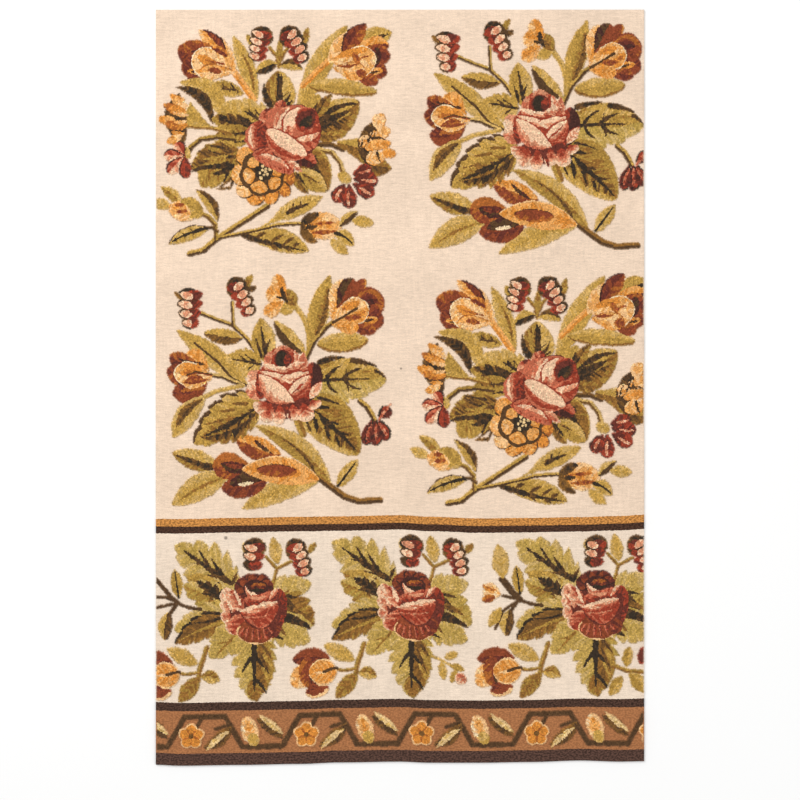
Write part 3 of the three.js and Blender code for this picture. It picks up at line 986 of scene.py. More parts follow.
    # the right flower on its tube
    chart.stem([(60, -26), (96, -26), (120, -36)], 10, "umber", "bark")
    work(LEAF, "horn", 108, -22, 172, -38, 66, 0, (5, 7), (2, 4))
    leaf(160, -68, 217, -74, 38, 0, (3, 4), (1, 3))
    leaf(174, -74, 184, 22, 44, 8, (0, 2))
    for from_x, from_y, to_x, to_y, wide, tones in (
        (190, 4, 198, 36, 27, (6, 7)),
        (186, -12, 214, 4, 26, (5, 7)),
        (152, -16, 178, -20, 18, (7, 7)),
        (156, -34, 168, -16, 12, (5, 7)),
        (164, -34, 216, -24, 22, (5, 6)),
        (176, -16, 184, 2, 9, (6, 7)),
        (196, -46, 226, -46, 20, (5, 6)),
        (166, -58, 204, -52, 30, (6, 7)),
    ):
        fold(from_x, from_y, to_x, to_y, wide, 2, tones, edge=("right", 5, 2.6))
    chart.shade((0, 1), (170, -22, 184, 10, 6, 0), (176, -14, 206, -18, 5, 3), (158, -40, 164, -8, 5, 3))
    chart.shade((0, 1), (188, -40, 196, -66, 6, 0), (164, 2, 172, 12, 10, 0))

    # the dark-red flower on its light stem
    chart.stem([(64, -34), (98, -42), (114, -62), (124, -94)], 10, "straw", "umber")
    work(LEAF, "bud", 110, -84, 136, -100, 22, 0, (6, 7))
    for from_x, from_y, to_x, to_y in (
        (138, -86, 178, -76),
        (140, -94, 190, -100),
        (140, -104, 182, -128),
        (132, -104, 132, -154),
        (124, -104, 104, -142),
    ):
        work(ROSE, "petal", from_x, from_y, to_x, to_y, 31, 0, (2, 3), edge=("right", 1, 3.6))
        start = (from_x * 0.7 + to_x * 0.3, from_y * 0.7 + to_y * 0.3)
        curl(*start, from_x * 0.08 + to_x * 0.92, from_y * 0.08 + to_y * 0.92, 6, -2, (4, 6))

    # the leaves under the rose on the right
    work(LEAF, "heart", 38, -38, 90, -118, 62, 4, (2, 4), (1, 3), rim=0.5, edge=("left", 6, 4))
    chart.shade((0, 1), (46, -46, 88, -108, 16, 0), (62, -48, 74, -66, 6, 0))
    leaf(32, -76, 88, -120, 38, 0, (6, 7), (4, 6), hatch=0.2)
    chart.shade((1, 3), (38, -84, 74, -104, 6, 0), (52, -96, 60, -112, 5, 0))
    leaf(22, -80, 50, -124, 26, 0, (4, 5), (1, 4))
    chart.shade((0, 1), (26, -82, 48, -112, 7, 0), (18, -78, 30, -96, 6, 0))

    marigold(chart, -40, -82)

    # the rose: back petals, then the ball and its folds, then the front lip
    work(ROSE, "petal", -14, 6, -38, 44, 38, 0, (3, 5), (2, 3), across=0.6)
    work(ROSE, "petal", -18, 26, 2, 62, 26, 0, (3, 5), (2, 3))
    curl(14, -36, 66, -66, 34, 0, (3, 4), (1, 2), across=0.4)
    curl(-42, -44, -48, 22, 50, 6, (3, 4), (2, 4), across=0.3, hatch=0.4)
    lip(-58, -34, -60, 16, 12, 4, (6, 6), (4, 5))
    lip(-34, -42, -30, 22, 16, 4, (2, 3))
    curl(-60, -42, 22, -80, 44, 8, (3, 4), edge=("left", 2, 4), hatch=0.35)
    lip(-52, -48, 12, -74, 20, 4, (5, 6), (4, 4))
    lip(6, -54, 40, -82, 12, 0, (5, 6), (4, 5))
    chart.disc(-10, -14, 34, "maroon", high=78)
    chart.disc(24, 1, 106, "maroon", high=108)
    chart.disc(24, 3, 100, "coral", high=101)
    curl(-22, -2, 2, 48, 40, 6, (4, 4), (5, 6), across=-0.5, hatch=0.3)
    lip(-14, 8, 14, 50, 22, 4, (4, 5), (6, 6), hatch=0.2)
    curl(6, -6, 34, 48, 38, 2, (6, 6), (4, 6), edge=("left", 3, 4), hatch=0.2, rim=-0.9)
    curl(10, -22, 12, 12, 16, 0, (3, 4), (4, 5))
    curl(28, 36, 66, 40, 14, 4, (3, 4), (2, 3))
    curl(34, 0, 62, 44, 46, 0, (2, 3))
    curl(34, 6, 58, 40, 36, 0, (2, 2), (1, 2))
    work(LEAF, "bud", 34, 10, 58, 30, 20, -2, (0, 0), (0, 1))
    curl(34, 2, 44, 10, 8, 0, (3, 3))
    curl(34, -6, 74, 14, 22, -10, (3, 4), (3, 3), edge=("right", 3, 3))
    curl(26, -16, 74, -2, 32, -12, (5, 6), (3, 4), edge=("left", 3, 3), hatch=0.3)
    curl(-32, 4, 48, -48, 50, -8, (6, 6), (4, 6), edge=("left", 3, 3.4), hatch=0.2, rim=-0.9)
    curl(-34, -4, 40, -52, 13, -13, (3, 4), (3, 3))


for number, (middle_x, middle_y) in enumerate(MARIGOLD_BOUQUETS, 1):
    chart = Chart(left=-264, right=228, low=-252, high=222, seed=number)
    bouquet_a(chart)
    worked(f"marigold_bouquet_{number}", chart, middle_x, middle_y, FIELD_COLOUR)


# The second bouquet: a rose with two tulips, two ladder buds, an orange flower and broad lobed
# leaves, and a spray of a long tulip and leaves below. It is worked twice. The loom's edge cuts
# off the red flower of the first one.
# Here are the middles of their roses, in millimetres on the cloth.
TULIP_BOUQUETS = ((282, 525.5), (-232, 15.5))


def bouquet_b(chart):
    """Works the second bouquet, from what lies behind to the rose in front."""
    work = chart.work
    leaf, petal, fold, lip, curl = workers(chart, "leaf", "petal", "fold", "lip", "curl")

    # the lower spray
    chart.stem([(66, -192), (90, -212), (124, -236), (150, -244), (192, -243)], 13, "bronze", "bark")
    leaf(70, -202, -84, -256, 46, -8, (6, 7), hatch=0.2)
    work(LEAF, "bud", 50, -204, -60, -246, 7, -5, (5, 6))
    leaf(94, -206, -56, -90, 44, -16, (3, 5), (6, 7), rim=0.5)
    chart.shade((1, 2), (62, -186, -6, -116, 8, -8))
    leaf(106, -216, 148, -160, 29, 0, (6, 7), rib=6, rim=-0.2)
    leaf(-126, -172, -223, -142, 42, 0, (3, 4), (6, 7))
    chart.shade((0, 2), (-140, -174, -216, -146, 16, 2))
    leaf(-106, -186, -224, -246, 52, -6, (6, 7), hatch=0.2)
    work(LEAF, "bud", -116, -194, -206, -236, 7, -6, (3, 4))
    work(TULIP, "leaf", -6, -150, -98, -114, 46, 4, (3, 4), (5, 6), rim=-0.2)
    work(TULIP, "leaf", -20, -148, -60, -116, 8, 3, (0, 1), (0, 2))
    fold(-50, -152, -78, -124, 9, 0, (3, 3))
    petal(-60, -176, -142, -166, 54, 0, (3, 4), (4, 4), rim=-0.3, edge=("right", 4, 5))
    work(TULIP, "leaf", -66, -176, -126, -166, 24, 3, (0, 1), (1, 2))
    fold(-84, -174, -116, -168, 9, 0, (2, 3))
    fold(-34, -200, -124, -214, 46, 5, (2, 3), (3, 3))
    fold(-42, -196, -108, -206, 26, -5, (0, 1))
    fold(-60, -204, -92, -208, 8, 0, (8, 8))
    work(TULIP, "leaf", 72, -200, -84, -176, 56, -8, (5, 6), edge=("right", 7, 2.5))
    fold(26, -184, -54, -178, 27, 0, (3, 4), (3, 3), edge=("right", 1, 2))

    # stems and long leaves
    chart.stem([(-166, 136), (-139, 124), (-103, 111), (-74, 84), (-50, 50)], 8, "gold", "bark")
    chart.stem([(-103, 156), (-101, 112)], 7, "gold", "bark")
    chart.stem([(20, 152), (40, 124), (50, 94), (50, 56)], 11, "straw", "gold")
    chart.stem([(112, 122), (83, 104), (60, 76), (44, 42)], 10, "olive", "bark")
    leaf(54, 70, 92, 208, 42, 2, (5, 6), (5, 7), hatch=0.2)
    work(LEAF, "bud", 62, 88, 88, 184, 20, -4, (3, 4), (1, 3))
    work(LEAF, "bud", 66, 70, 168, 78, 40, 0, (6, 7), (5, 6), edge=("right", 3, 6), hatch=0.2)
    leaf(44, 50, -19, 118, 34, 3, (1, 1), (6, 7))
    leaf(-34, 34, -47, 124, 48, 0, (4, 6), (6, 7), rim=0.5)
    chart.shade((0, 1), (-34, 38, -46, 108, 11, 0), (-44, 44, -56, 84, 8, 0), (-36, 60, -28, 82, 5, 0))
    work(LEAF, "heart", -46, 30, -120, 44, 60, 0, (6, 7), (5, 6), teeth=4, rim=0.4)
    chart.shade(
        (0, 1), (-44, 32, -108, 44, 8, 0), (-56, 36, -78, 52, 6, 0), (-76, 40, -92, 54, 5, 0),
        (-60, 30, -72, 22, 5, 0),
    )
    leaf(-80, 84, -160, 96, 32, 2, (1, 3), (6, 6))
    leaf(-72, -12, -214, 102, 42, -4, (6, 7), (5, 7), hatch=0.2)
    chart.stem([(-74, -10), (-104, 4), (-130, 36), (-178, 76)], 5, "bark")

    # the left tulip
    chart.stem([(-160, 14), (-122, 8), (-82, -10)], 9, "straw", "bark")
    petal(-150, 20, -194, 58, 44, 0, (6, 7), (5, 6))
    petal(-156, 20, -228, 52, 38, 4, (1, 3), (3, 4))
    fold(-158, 34, -210, 46, 9, 4, (0, 1))
    petal(-156, 12, -234, 20, 42, 6, (2, 4), (2, 3))
    petal(-150, 2, -222, -26, 46, 10, (3, 3), (2, 3), edge=("left", 3, 4))
    fold(-158, -14, -206, -20, 12, -4, (4, 4))
    fold(-212, 16, -202, -16, 9, 0, (1, 2))
    petal(-142, 8, -220, 18, 48, -2, (6, 7), (5, 6), rim=-0.4, edge=("tip", 8, 3))
    fold(-166, 26, -208, 16, 16, 2, (4, 5))
    petal(-144, 4, -202, -4, 20, 4, (6, 7), (3, 4))
    fold(-166, 22, -206, 26, 7, -3, (5, 5))
    chart.stem([(-144, 12), (-176, 18), (-192, 12)], 5, "bark", "russet")
    fold(-160, 6, -196, 2, 10, -3, (3, 4))

    # the right tulip
    petal(96, 120, 120, 200, 34, 4, (6, 7), (5, 6))
    petal(106, 142, 138, 202, 36, 0, (0, 1), (3, 3))
    petal(122, 144, 162, 200, 26, 0, (3, 3), (3, 4), edge=("right", 5, 5))
    petal(138, 138, 200, 160, 60, 4, (4, 4), (3, 4), edge=("tip", 3, 5))
    fold(148, 150, 188, 158, 26, 6, (2, 3), (1, 2))
    petal(132, 126, 200, 114, 46, 4, (2, 3), (3, 3))
    fold(146, 116, 188, 120, 16, 0, (5, 6), (5, 5))
    fold(152, 116, 180, 119, 7, 0, (0, 1))
    petal(122, 110, 184, 96, 26, 0, (3, 4), (2, 3))
    fold(156, 132, 168, 156, 22, 0, (1, 2))
    petal(94, 116, 169, 148, 56, 0, (6, 7), (5, 6), rim=-0.4, edge=("tip", 8, 3))
    fold(116, 142, 152, 154, 16, 0, (5, 5))
    fold(140, 122, 164, 136, 12, 0, (4, 5))
    petal(96, 110, 150, 102, 28, 0, (5, 6))
    chart.stem([(98, 114), (120, 126), (146, 142)], 5, "bark")
    fold(122, 123, 154, 124, 13, 0, (3, 4))
    fold(116, 138, 132, 150, 7, 0, (4, 5))

    # the ladder buds
    leaf(-204, 162, -218, 178, 10, 0, (2, 3))
    leaf(-84, 178, -62, 212, 15, 0, (3, 5))
    leaf(-76, 178, -54, 188, 12, 0, (1, 2))
    chart.ladder_bud(-184, 106, -182, 188, 56, bow=4, narrow=0.45, domed=False)
    chart.ladder_bud(-68, 130, -102, 202, 46, lit=-1, narrow=0.6)

    # the orange flower
    leaf(-12, 136, 24, 148, 24, 0, (5, 7))
    leaf(24, 148, 2, 182, 28, 0, (2, 4), (3, 5))
    petal(6, 164, -16, 210, 30, 4, (6, 7), (5, 5))
    petal(4, 166, -36, 174, 36, 0, (6, 7), (5, 6))
    petal(0, 158, -38, 130, 30, 0, (6, 7), (5, 6))
    work(LEAF, "bud", -4, 186, 8, 154, 10, -3, (0, 1))
    work(LEAF, "bud", -16, 166, 4, 162, 5, 0, (0, 1))

    # the leaves at the sides
    chart.stem([(-82, -10), (-133, -20), (-170, -36)], 9, "straw", "gold")
    leaf(-158, -30, -222, -112, 44, -6, (6, 7), hatch=0.2)
    leaf(-162, -36, -216, -94, 18, -9, (1, 2), (2, 3))
    work(LEAF, "heart", -48, -40, -180, -124, 94, -6, (4, 6), (5, 7), teeth=5, edge=("right", 1, 9))
    leaf(-50, -62, -164, -112, 62, 8, (2, 4), (3, 4), hatch=0.7, teeth=6, cut=0.4)
    leaf(-54, -62, -166, -112, 34, 12, (0, 2), (3, 4), hatch=0.7, teeth=7, cut=0.6)
    leaf(-54, -54, -162, -110, 14, 4, (0, 0), (0, 1), teeth=7, cut=0.6)
    chart.shade(
        (0, 1), (-66, -64, -72, -90, 8, 0), (-86, -76, -94, -98, 7, 0), (-106, -86, -118, -104, 6, 0),
    )
    chart.shade(
        (2, 3), (-70, -46, -104, -46, 9, 0), (-98, -58, -140, -62, 8, 0), (-120, -78, -156, -86, 7, 0),
    )
    work(GREEN, "heart", 54, -6, 205, -2, 90, 0, (5, 6), (5, 7), teeth=4)
    leaf(56, 12, 200, 8, 50, 8, (5, 7), (4, 6), hatch=0.5)
    chart.shade((0, 2), (66, 32, 122, 44, 14, 3), (132, 38, 186, 24, 14, 3), (180, 18, 204, 0, 9, 2))
    chart.shade(
        (0, 1), (68, -2, 174, 0, 9, 1), (84, -1, 116, 28, 9, 4), (116, 0, 156, 22, 9, 4),
        (122, 1, 126, 24, 6, 0),
    )
    chart.shade((0, 1), (86, -1, 108, -28, 9, -4), (118, 0, 154, -20, 9, -4), (126, -2, 130, -28, 6, 0))
    chart.shade((3, 4), (70, 22, 100, 34, 9, 0), (150, 14, 180, 16, 8, 0))
    work(LEAF, "heart", 44, -42, 150, -150, 94, 6, (3, 5), (4, 7), rim=0.8, hatch=0.45)
    work(LEAF, "heart", 50, -54, 146, -142, 64, 4, (2, 4), (1, 4), hatch=0.7, teeth=5, cut=0.4)
    chart.shade(
        (0, 0), (54, -62, 146, -144, 14, 4), (64, -56, 92, -58, 9, 2), (60, -70, 66, -108, 12, 2),
    )
    chart.shade(
        (0, 1), (84, -88, 110, -90, 8, 2), (82, -92, 92, -122, 10, 0), (106, -110, 134, -112, 8, 2),
    )
    chart.shade(
        (0, 1), (104, -112, 112, -136, 8, 0), (46, -48, 56, -106, 10, -6), (66, -36, 114, -52, 8, 2),
    )
    chart.shade(
        (4, 5), (62, -66, 84, -110, 7, 0), (70, -62, 108, -76, 6, 0), (94, -102, 102, -130, 6, 0),
    )
    chart.stem([(152, -44), (168, -58), (180, -80)], 11, "gold", "bark")
    for px, py, qx, qy in (
        (176, -80, 164, -132), (184, -80, 184, -134), (190, -80, 206, -124), (188, -76, 214, -60),
    ):
        work(ROSE, "petal", px, py, qx, qy, 27, 0, (2, 3), (1, 2), edge=("left", 0, 5))
        curl(px, py - 8, qx, qy + 10, 6, 0, (3, 5))
    chart.stem([(26, -80), (38, -108)], 15, "bronze", "olive")

    # the rose: its frill, its shaded sides, then the ball from its eye down to its lip
    chart.disc(6, -54, 104, "maroon", high=48)
    for from_x, from_y, to_x, to_y, wide in (
        (-34, -44, -54, -64, 36),
        (-26, -46, -38, -84, 32),
        (-8, -48, -10, -90, 26),
        (56, -40, 66, -58, 30),
        (18, -48, 20, -82, 28),
        (38, -46, 48, -84, 34),
    ):
        work(ROSE, "petal", from_x, from_y, to_x, to_y, wide, 0, (3, 6), along=0.7, hatch=0.35)
    curl(2, -50, 14, -84, 7, 2, (2, 3))
    curl(-34, -8, -72, 14, 34, 0, (5, 6), (5, 5))
    curl(-32, -18, -76, -20, 40, 0, (4, 5), (5, 6), across=-0.3)
    curl(-46, -38, -46, 22, 22, 0, (2, 3))
    curl(50, -42, 60, 34, 46, 0, (2, 3), (1, 1), across=0.4)
    lip(50, -38, 76, -4, 20, 0, (5, 6), edge=("left", 3, 2.5))
    chart.disc(2, 2, 104, "brick", high=96)
    chart.disc(-2, 36, 66, "brick", high=62)
    curl(-30, 20, -24, 58, 16, 5, (4, 5))
    curl(-22, 52, 18, 56, 16, 8, (4, 5), (3, 5))
    curl(22, 14, 22, 58, 14, -5, (5, 6), (4, 5))
    lip(26, 0, 38, 56, 24, -4, (4, 5), edge=("left", 6, 3))
    chart.disc(-2, 42, 36, "maroon")
    chart.disc(-4, 42, 26, "coal", high=32)
    curl(2, 32, 12, 54, 12, 0, (2, 3))
    lip(-42, 32, -6, 18, 20, -4, (6, 6), (4, 5), hatch=0.2)
    curl(-16, 24, 12, 22, 12, -3, (6, 6), (5, 5))
    lip(4, 20, 42, 34, 18, 0, (5, 6), (4, 5), edge=("right", 3, 3))
    lip(-48, 20, 16, 6, 24, -8, (6, 6), (5, 5), edge=("left", 3, 3.4), hatch=0.2)
    lip(-8, 6, 50, 18, 26, -8, (6, 6), (5, 6), edge=("left", 3, 3.4), hatch=0.2)
    lip(4, -32, 52, 10, 40, -8, (6, 6), (3, 5), edge=("left", 3, 3.4), rim=-0.6)
    lip(14, -36, 50, -8, 8, -6, (3, 3), (3, 4))
    lip(12, -30, 44, 0, 5, -2, (3, 3))
    lip(-50, 14, 22, -44, 44, -9, (6, 6), (4, 6), edge=("left", 3, 3.4), hatch=0.2, rim=-0.9)


for number, (middle_x, middle_y) in enumerate(TULIP_BOUQUETS, 1):
    chart = Chart(left=-240, right=222, low=-276, high=216, seed=number + 2)
    bouquet_b(chart)
    worked(f"tulip_bouquet_{number}", chart, middle_x, middle_y, FIELD_COLOUR)


# The border's spray: a dark-crowned rose in lobed leaves, with two ladder buds above and a tulip
# on its own sprig below. It is worked three times, with another small sprig beside each one.
# Here are the middles of their roses, in millimetres on the cloth.
BORDER_SPRAYS = ((-290, -434.5), (24, -432.5), (392, -430.5))


def side_sprig(chart, budded):
    """The dark forked sprig on the left of a spray, with a bud and more leaves on the last one."""
    leaf, petal, fold = workers(chart, "leaf", "petal", "fold")
    chart.stem([(-153, 8), (-134, 0), (-108, -4)], 7, "bark")
    chart.stem([(-155, 8), (-170, -14), (-168, -38), (-176, -60)], 8, "bark")
    leaf(-152, 18, -160, 76, 24, 0, (4, 5), (5, 6), rib=4)
    leaf(-172, -10, -180, -66, 26, -4, (1, 2), (6, 7))
    if budded:
        chart.stem([(-188, 50), (-168, 24), (-153, 8)], 13, "bark")
        chart.stem([(-186, 16), (-153, 8)], 6, "bark")
        chart.stem([(-158, 4), (-186, -14), (-202, -50)], 6, "bark")
        leaf(-186, 50, -196, 120, 34, 0, (6, 7))
        leaf(-190, -8, -214, -46, 22, 0, (5, 6), (6, 7))
        petal(-190, 18, -226, 26, 40, 0, (7, 8), (6, 7))
        fold(-200, 28, -226, 38, 14, 0, (4, 5), (6, 7))
        fold(-202, 14, -228, 8, 15, 0, (3, 4), (4, 5))
    else:
        chart.stem([(-200, 58), (-167, 20), (-153, 8)], 8, "bark")
        chart.stem([(-208, 20), (-177, 19), (-158, 12)], 6, "bark")
        chart.stem([(-206, -4), (-158, 8)], 6, "bark")


def small_sprig(chart):
    """The little pink bud and its pale leaves beside the middle spray."""
    leaf, curl = workers(chart, "leaf", "curl")
    chart.stem([(40, -104), (62, -114), (84, -126), (92, -142)], 5, "straw", "gold")
    leaf(64, -108, 92, -98, 17, 0, (6, 7))
    leaf(58, -114, 64, -152, 17, 0, (6, 7))
    leaf(76, -122, 104, -132, 14, 0, (4, 6))
    leaf(86, -132, 78, -158, 13, 0, (5, 6))
    curl(88, -140, 106, -158, 22, 0, (4, 5), (5, 6))


def edge_sprig(chart):
    """The sprig that the loom's edge cuts off beside the last spray."""
    leaf, curl = workers(chart, "leaf", "curl")
    chart.stem([(36, -128), (62, -138), (96, -142)], 9, "moss", "bronze")
    leaf(60, -130, 66, -90, 22, 0, (4, 5), (6, 7))
    leaf(52, -148, 26, -188, 24, 0, (6, 7), (4, 5))
    leaf(66, -142, 96, -184, 28, 4, (6, 7), (4, 5))
    curl(90, -126, 94, -92, 20, 0, (2, 3))


def spray_c(chart, number):
    """Works a border spray, with the sprigs that stand beside that one of the three."""
    work = chart.work
    leaf, petal, fold, lip, curl = workers(chart, "leaf", "petal", "fold", "lip", "curl")

    # the lobed leaves round the rose, dark where they are folded
    work(GREEN, "leaf", -28, 38, -160, 124, 98, 0, (6, 7), (5, 7), teeth=5, cut=0.45, rim=0.4)
    leaf(-60, 34, -138, 62, 40, 4, (3, 5), (4, 6), hatch=0.5)
    chart.shade(
        (0, 1), (-42, 44, -142, 114, 15, 2), (-92, 80, -112, 114, 9, 0), (-66, 62, -88, 98, 11, 0),
    )
    chart.shade(
        (0, 2), (-54, 54, -96, 64, 9, 0), (-44, 48, -34, 70, 9, 0), (-98, 84, -122, 88, 7, 0),
        (-70, 48, -114, 44, 5, 0),
    )
    work(GREEN, "heart", -54, 8, -142, 44, 66, 0, (3, 5), (5, 7), teeth=4, cut=0.4)
    work(GREEN, "leaf", -50, 0, -118, 52, 32, -4, (0, 2), (0, 1), hatch=0.6, teeth=5, cut=0.6)
    chart.shade((0, 1), (-54, 2, -106, 10, 8, 0), (-60, 18, -108, 28, 9, 0))
    work(GREEN, "heart", -50, -6, -160, -46, 76, 4, (6, 7), (5, 7), teeth=5, cut=0.3)
    work(
        GREEN, "leaf", -52, -16, -160, -72, 54, -4, (2, 4), (2, 3), teeth=5, edge=("right", 0, 6),
        hatch=0.4,
    )
    chart.shade((4, 5), (-60, -28, -152, -66, 6, -2))
    chart.shade((0, 1), (-58, -14, -104, -8, 7, 2), (-60, -20, -126, -30, 8, 4))
    work(GREEN, "heart", -26, -36, -90, -102, 68, 0, (5, 7), teeth=4, cut=0.3, rim=0.4)
    chart.shade((3, 4), (-40, -58, -78, -98, 8, 0), (-50, -70, -76, -74, 5, 0))
    work(GREEN, "heart", 26, 18, 112, 44, 64, 2, (6, 7), teeth=3, cut=0.3)
    work(GREEN, "heart", 30, -36, 110, -72, 68, 0, (5, 7), teeth=4, cut=0.3, rim=0.4)
    folded = (2, 4) if number == 1 else (4, 6)
    work(GREEN, "heart", 42, 10, 118, -40, 78, 4, folded, (5, 7), teeth=4, cut=0.3, rim=0.5, hatch=0.5)
    chart.shade(
        (0, 1), (56, 8, 88, -16, 24, 0), (54, -22, 112, -46, 22, 3), (38, -58, 58, -68, 9, 0),
        (62, 20, 88, 14, 7, 0),
    )
    chart.shade((1, 3), (64, -2, 104, -22, 12, 2), (48, -40, 62, -60, 9, 0))
    work(GREEN, "heart", -2, -50, -2, -188, 96, 0, (3, 6), (5, 7), teeth=6, cut=0.35, rim=0.5, hatch=0.4)
    work(GREEN, "leaf", 14, -66, 16, -176, 38, 4, (3, 4), (2, 3), hatch=0.5)
    work(GREEN, "leaf", -6, -146, 4, -190, 30, 0, (3, 4))
    chart.shade(
        (0, 0), (-1, -66, -1, -170, 13, 0), (-1, -98, -26, -134, 9, -3), (0, -102, 22, -134, 9, 3),
        (0, -146, 24, -174, 10, 2),
    )
    chart.shade((1, 2), (12, -74, 34, -104, 9, 0), (10, -92, 30, -140, 7, 0))
    chart.shade((5, 6), (18, -96, 38, -128, 6, 0), (14, -120, 32, -158, 6, 0))

    # the ladder buds on their forked stem
    chart.stem([(36, 44), (44, 74), (22, 98)], 7, "moss", "bronze")
    chart.stem([(44, 74), (72, 87)], 7, "moss", "bronze")
    leaf(46, 82, 36, 136, 26, 0, (6, 7))
    leaf(-14, 100, -22, 128, 14, 0, (6, 7))
    leaf(104, 102, 122, 124, 14, 0, (3, 4))
    chart.ladder_bud(-4, 72, 2, 132, 48, rows=3, plain=1)
    chart.ladder_bud(98, 58, 74, 128, 44, lit=-1, bow=4)

    # the tulip at the lower left, on its own sprig
    chart.stem([(-96, -82), (-110, -124), (-113, -146)], 10, "moss", "bronze")
    chart.stem([(-112, -130), (-136, -134), (-160, -130)], 7, "moss", "bronze")
    leaf(-114, -114, -176, -82, 32, 0, (6, 7), hatch=0.2)
    leaf(-108, -138, -70, -148, 25, 4, (3, 4), (6, 7))
    leaf(-110, -138, -152, -190, 32, 0, (3, 4))
    fold(-198, -120, -238, -164, 44, 0, (6, 7), (5, 7))
    fold(-164, -112, -238, -110, 36, -6, (2, 3), (3, 3))
    fold(-208, -104, -202, -168, 34, -4, (3, 3), (3, 4))
    fold(-166, -168, -212, -178, 28, 0, (7, 7), (3, 3))
    fold(-172, -158, -208, -176, 28, 0, (3, 3), (2, 3))
    fold(-186, -110, -200, -160, 12, -6, (0, 2))
    fold(-150, -138, -206, -134, 54, 0, (5, 6), edge=("all", 7, 4))
    fold(-170, -136, -196, -138, 6, 0, (7, 7))
    chart.stem([(-176, -136), (-160, -130), (-150, -130)], 6, "bark")

    if number == 2:
        small_sprig(chart)
    else:
        side_sprig(chart, number == 3)
    if number == 3:
        edge_sprig(chart)

    # the rose: its outer petals, its dark crown, then the bowl with its light lip
    for from_x, from_y, to_x, to_y, wide in (
        (-30, 18, -70, 22, 34),
        (-30, 2, -70, 4, 30),
        (-24, -14, -68, -22, 32),
        (-22, -26, -56, -48, 34),
    ):
        work(ROSE, "petal", from_x, from_y, to_x, to_y, wide, 0, (3, 6), along=0.5, hatch=0.4)
    for from_x, from_y, to_x, to_y in ((36, 8, 63, 18), (38, -10, 64, -14), (30, -26, 54, -42)):
        work(ROSE, "petal", from_x, from_y, to_x, to_y, 40, 0, (2, 3), hatch=0.4)
    chart.disc(2, -8, 104, "maroon", high=96)
    work(ROSE, "petal", -12, -10, -46, -54, 40, 0, (3, 5), hatch=0.5)
    petal(4, -10, 2, -76, 78, 0, (3, 3), edge=("tip", 7, 4))
    petal(28, -14, 38, -64, 36, 0, (2, 3), hatch=0.5)
    for tip_x, tip_y in ((-30, -60), (-18, -68), (-4, -71), (10, -70), (24, -66), (38, -56)):
        lip(tip_x * 0.7, -42, tip_x, tip_y, 7, 0, (2, 3), (4, 4))
    for to_x, to_y in ((-40, 44), (-24, 60), (2, 65), (28, 56), (38, 40)):
        petal(-2, 34, to_x, to_y, 34, 0, (2, 3), (1, 3), hatch=0.5, edge=("left", 1, 2.4))
    lip(-44, -12, -46, 34, 24, -3, (5, 6), (3, 5), hatch=0.4)
    lip(-22, -12, -50, 32, 24, 0, (4, 6), (3, 4), hatch=0.4)
    lip(-26, -2, -40, 30, 8, 0, (6, 6))
    chart.disc(2, 34, 52, "plum", high=38)
    fold(-10, 38, 22, 40, 15, 0, (3, 4), (1, 3))
    work(LEAF, "bud", -8, 32, 20, 31, 6, 0, (0, 0))
    lip(-20, 42, 20, 24, 13, -14, (6, 6), (4, 5))
    curl(-22, 10, 46, 26, 30, -8, (3, 4), (2, 3))
    lip(-10, 18, 24, 20, 7, -3, (5, 5))
    lip(28, 10, 48, 36, 12, 0, (5, 6), (4, 4), edge=("right", 2, 2))
    curl(-28, -14, 48, -4, 46, -14, (3, 4), edge=("right", 2, 5))
    lip(-32, -10, 28, 2, 17, -3, (6, 6), (5, 6), edge=("right", 4, 3))
    curl(-4, -5, 46, 6, 14, 0, (6, 6), (5, 6), edge=("right", 4, 3))
    lip(-26, -20, 34, -16, 8, -6, (4, 5), (3, 4))


for number, (middle_x, middle_y) in enumerate(BORDER_SPRAYS, 1):
    chart = Chart(left=-264, right=228, low=-192, high=147, seed=number + 4)
    spray_c(chart, number)
    worked(f"border_spray_{number}", chart, middle_x, middle_y, BORDER_COLOUR)

# The guard's vine. It steps up and down along the border, with a flower hung under each upper run,
# a bud over each lower one and a two-toned leaf on every slope.
VINE_PERIOD = 230
VINE_FIRST_TOP = -390
VINE_END = 500
VINE_Y = -684.0
VINE_RUN = 80
VINE_TOP = 31
VINE_BOTTOM = -30
VINE_SLOPE = (VINE_PERIOD - 2 * VINE_RUN) / 2
VINE_WIDE = 10.5
FLOWER_WIDE = 47
FLOWER_RIM = 54
FLOWER_PETALS = 5
FLOWER_TURN = 0.3


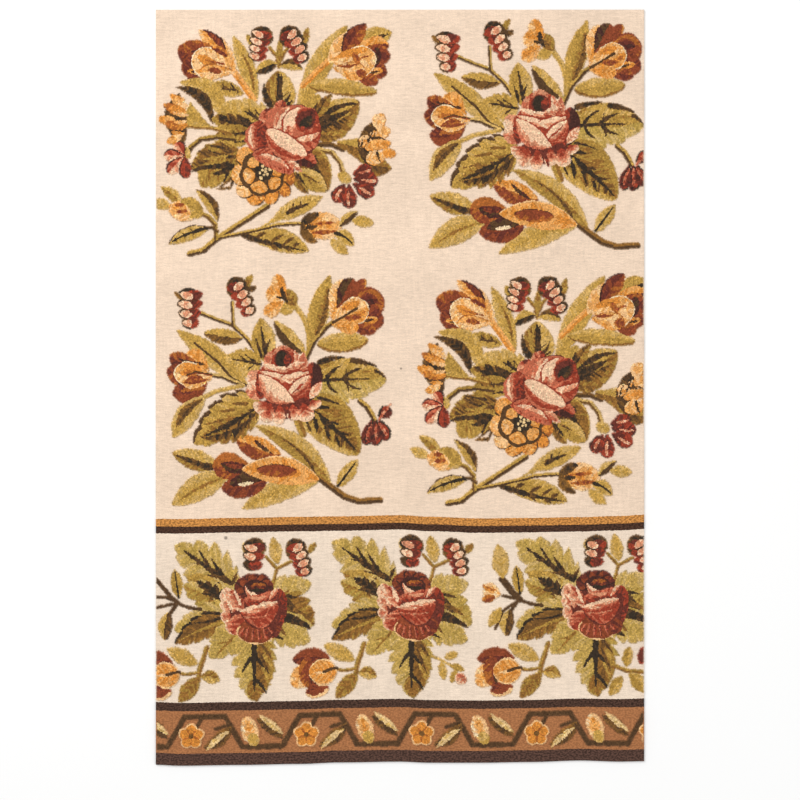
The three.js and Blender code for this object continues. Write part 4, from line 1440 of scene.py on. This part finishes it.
def vine(chart):
    """Works the vine from edge to edge, one period after another."""
    work = chart.work
    leaf, fold = workers(chart, "leaf", "fold")
    for top in np.arange(VINE_FIRST_TOP - VINE_PERIOD, VINE_END + VINE_PERIOD, VINE_PERIOD):
        start = top - VINE_RUN / 2
        fall = start + VINE_RUN + VINE_SLOPE
        line = [(start, VINE_TOP), (start + VINE_RUN, VINE_TOP), (fall, VINE_BOTTOM)]
        line += [(fall + VINE_RUN, VINE_BOTTOM), (start + VINE_PERIOD, VINE_TOP)]
        chart.stem(line, VINE_WIDE, "bark")

        # the flower
        flower_x, flower_y = top - 27, -8
        chart.stem([(flower_x + 6, flower_y + 10), (flower_x + 22, VINE_TOP)], 8, "bark")
        chart.disc(flower_x, flower_y, FLOWER_RIM, "peach", FLOWER_PETALS, 0.24, FLOWER_TURN)
        chart.disc(flower_x, flower_y, FLOWER_WIDE, "orange", FLOWER_PETALS, 0.26, FLOWER_TURN)
        for step in range(FLOWER_PETALS):
            angle = FLOWER_TURN + 2 * np.pi * (step + 0.5) / FLOWER_PETALS
            edge = (flower_x + 18 * np.cos(angle), flower_y + 18 * np.sin(angle))
            fold(flower_x, flower_y, *edge, 3, 0, (4, 4))
        chart.disc(flower_x, flower_y, 11, "umber")

        # the leaf on the way down
        chart.stem([(top + 22, 6), (top + 50, 14), (top + 58, 4)], 7, "bark")
        leaf(top + 54, 12, top - 2, -32, 26, 6, (1, 2), (1, 3))
        leaf(top + 50, 2, top + 2, -38, 13, -3, (8, 8), (7, 8), teeth=3)

        # the bud
        bud_x, bud_y = top + 89, 2
        chart.stem([(bud_x + 8, bud_y - 20), (bud_x + 18, VINE_BOTTOM)], 8, "bark")
        fold(bud_x + 10, bud_y - 28, bud_x - 8, bud_y + 28, 34, 0, (6, 8), (7, 7))
        fold(bud_x + 5, bud_y - 12, bud_x - 5, bud_y + 20, 19, 0, (5, 7))
        work(LEAF, "bud", bud_x + 14, bud_y - 30, bud_x + 2, bud_y - 6, 24, 0, (6, 7))

        # the leaf on the way up
        leaf(top + 156, -14, top + 104, 26, 24, -3, (1, 2), (1, 3))
        leaf(top + 158, -6, top + 108, 34, 13, 0, (7, 8), (8, 8), teeth=3)


chart = Chart(left=-489, right=489, low=-42, high=42, seed=8)
vine(chart)
worked("guard_vine", chart, 0, VINE_Y, GUARD_COLOUR)
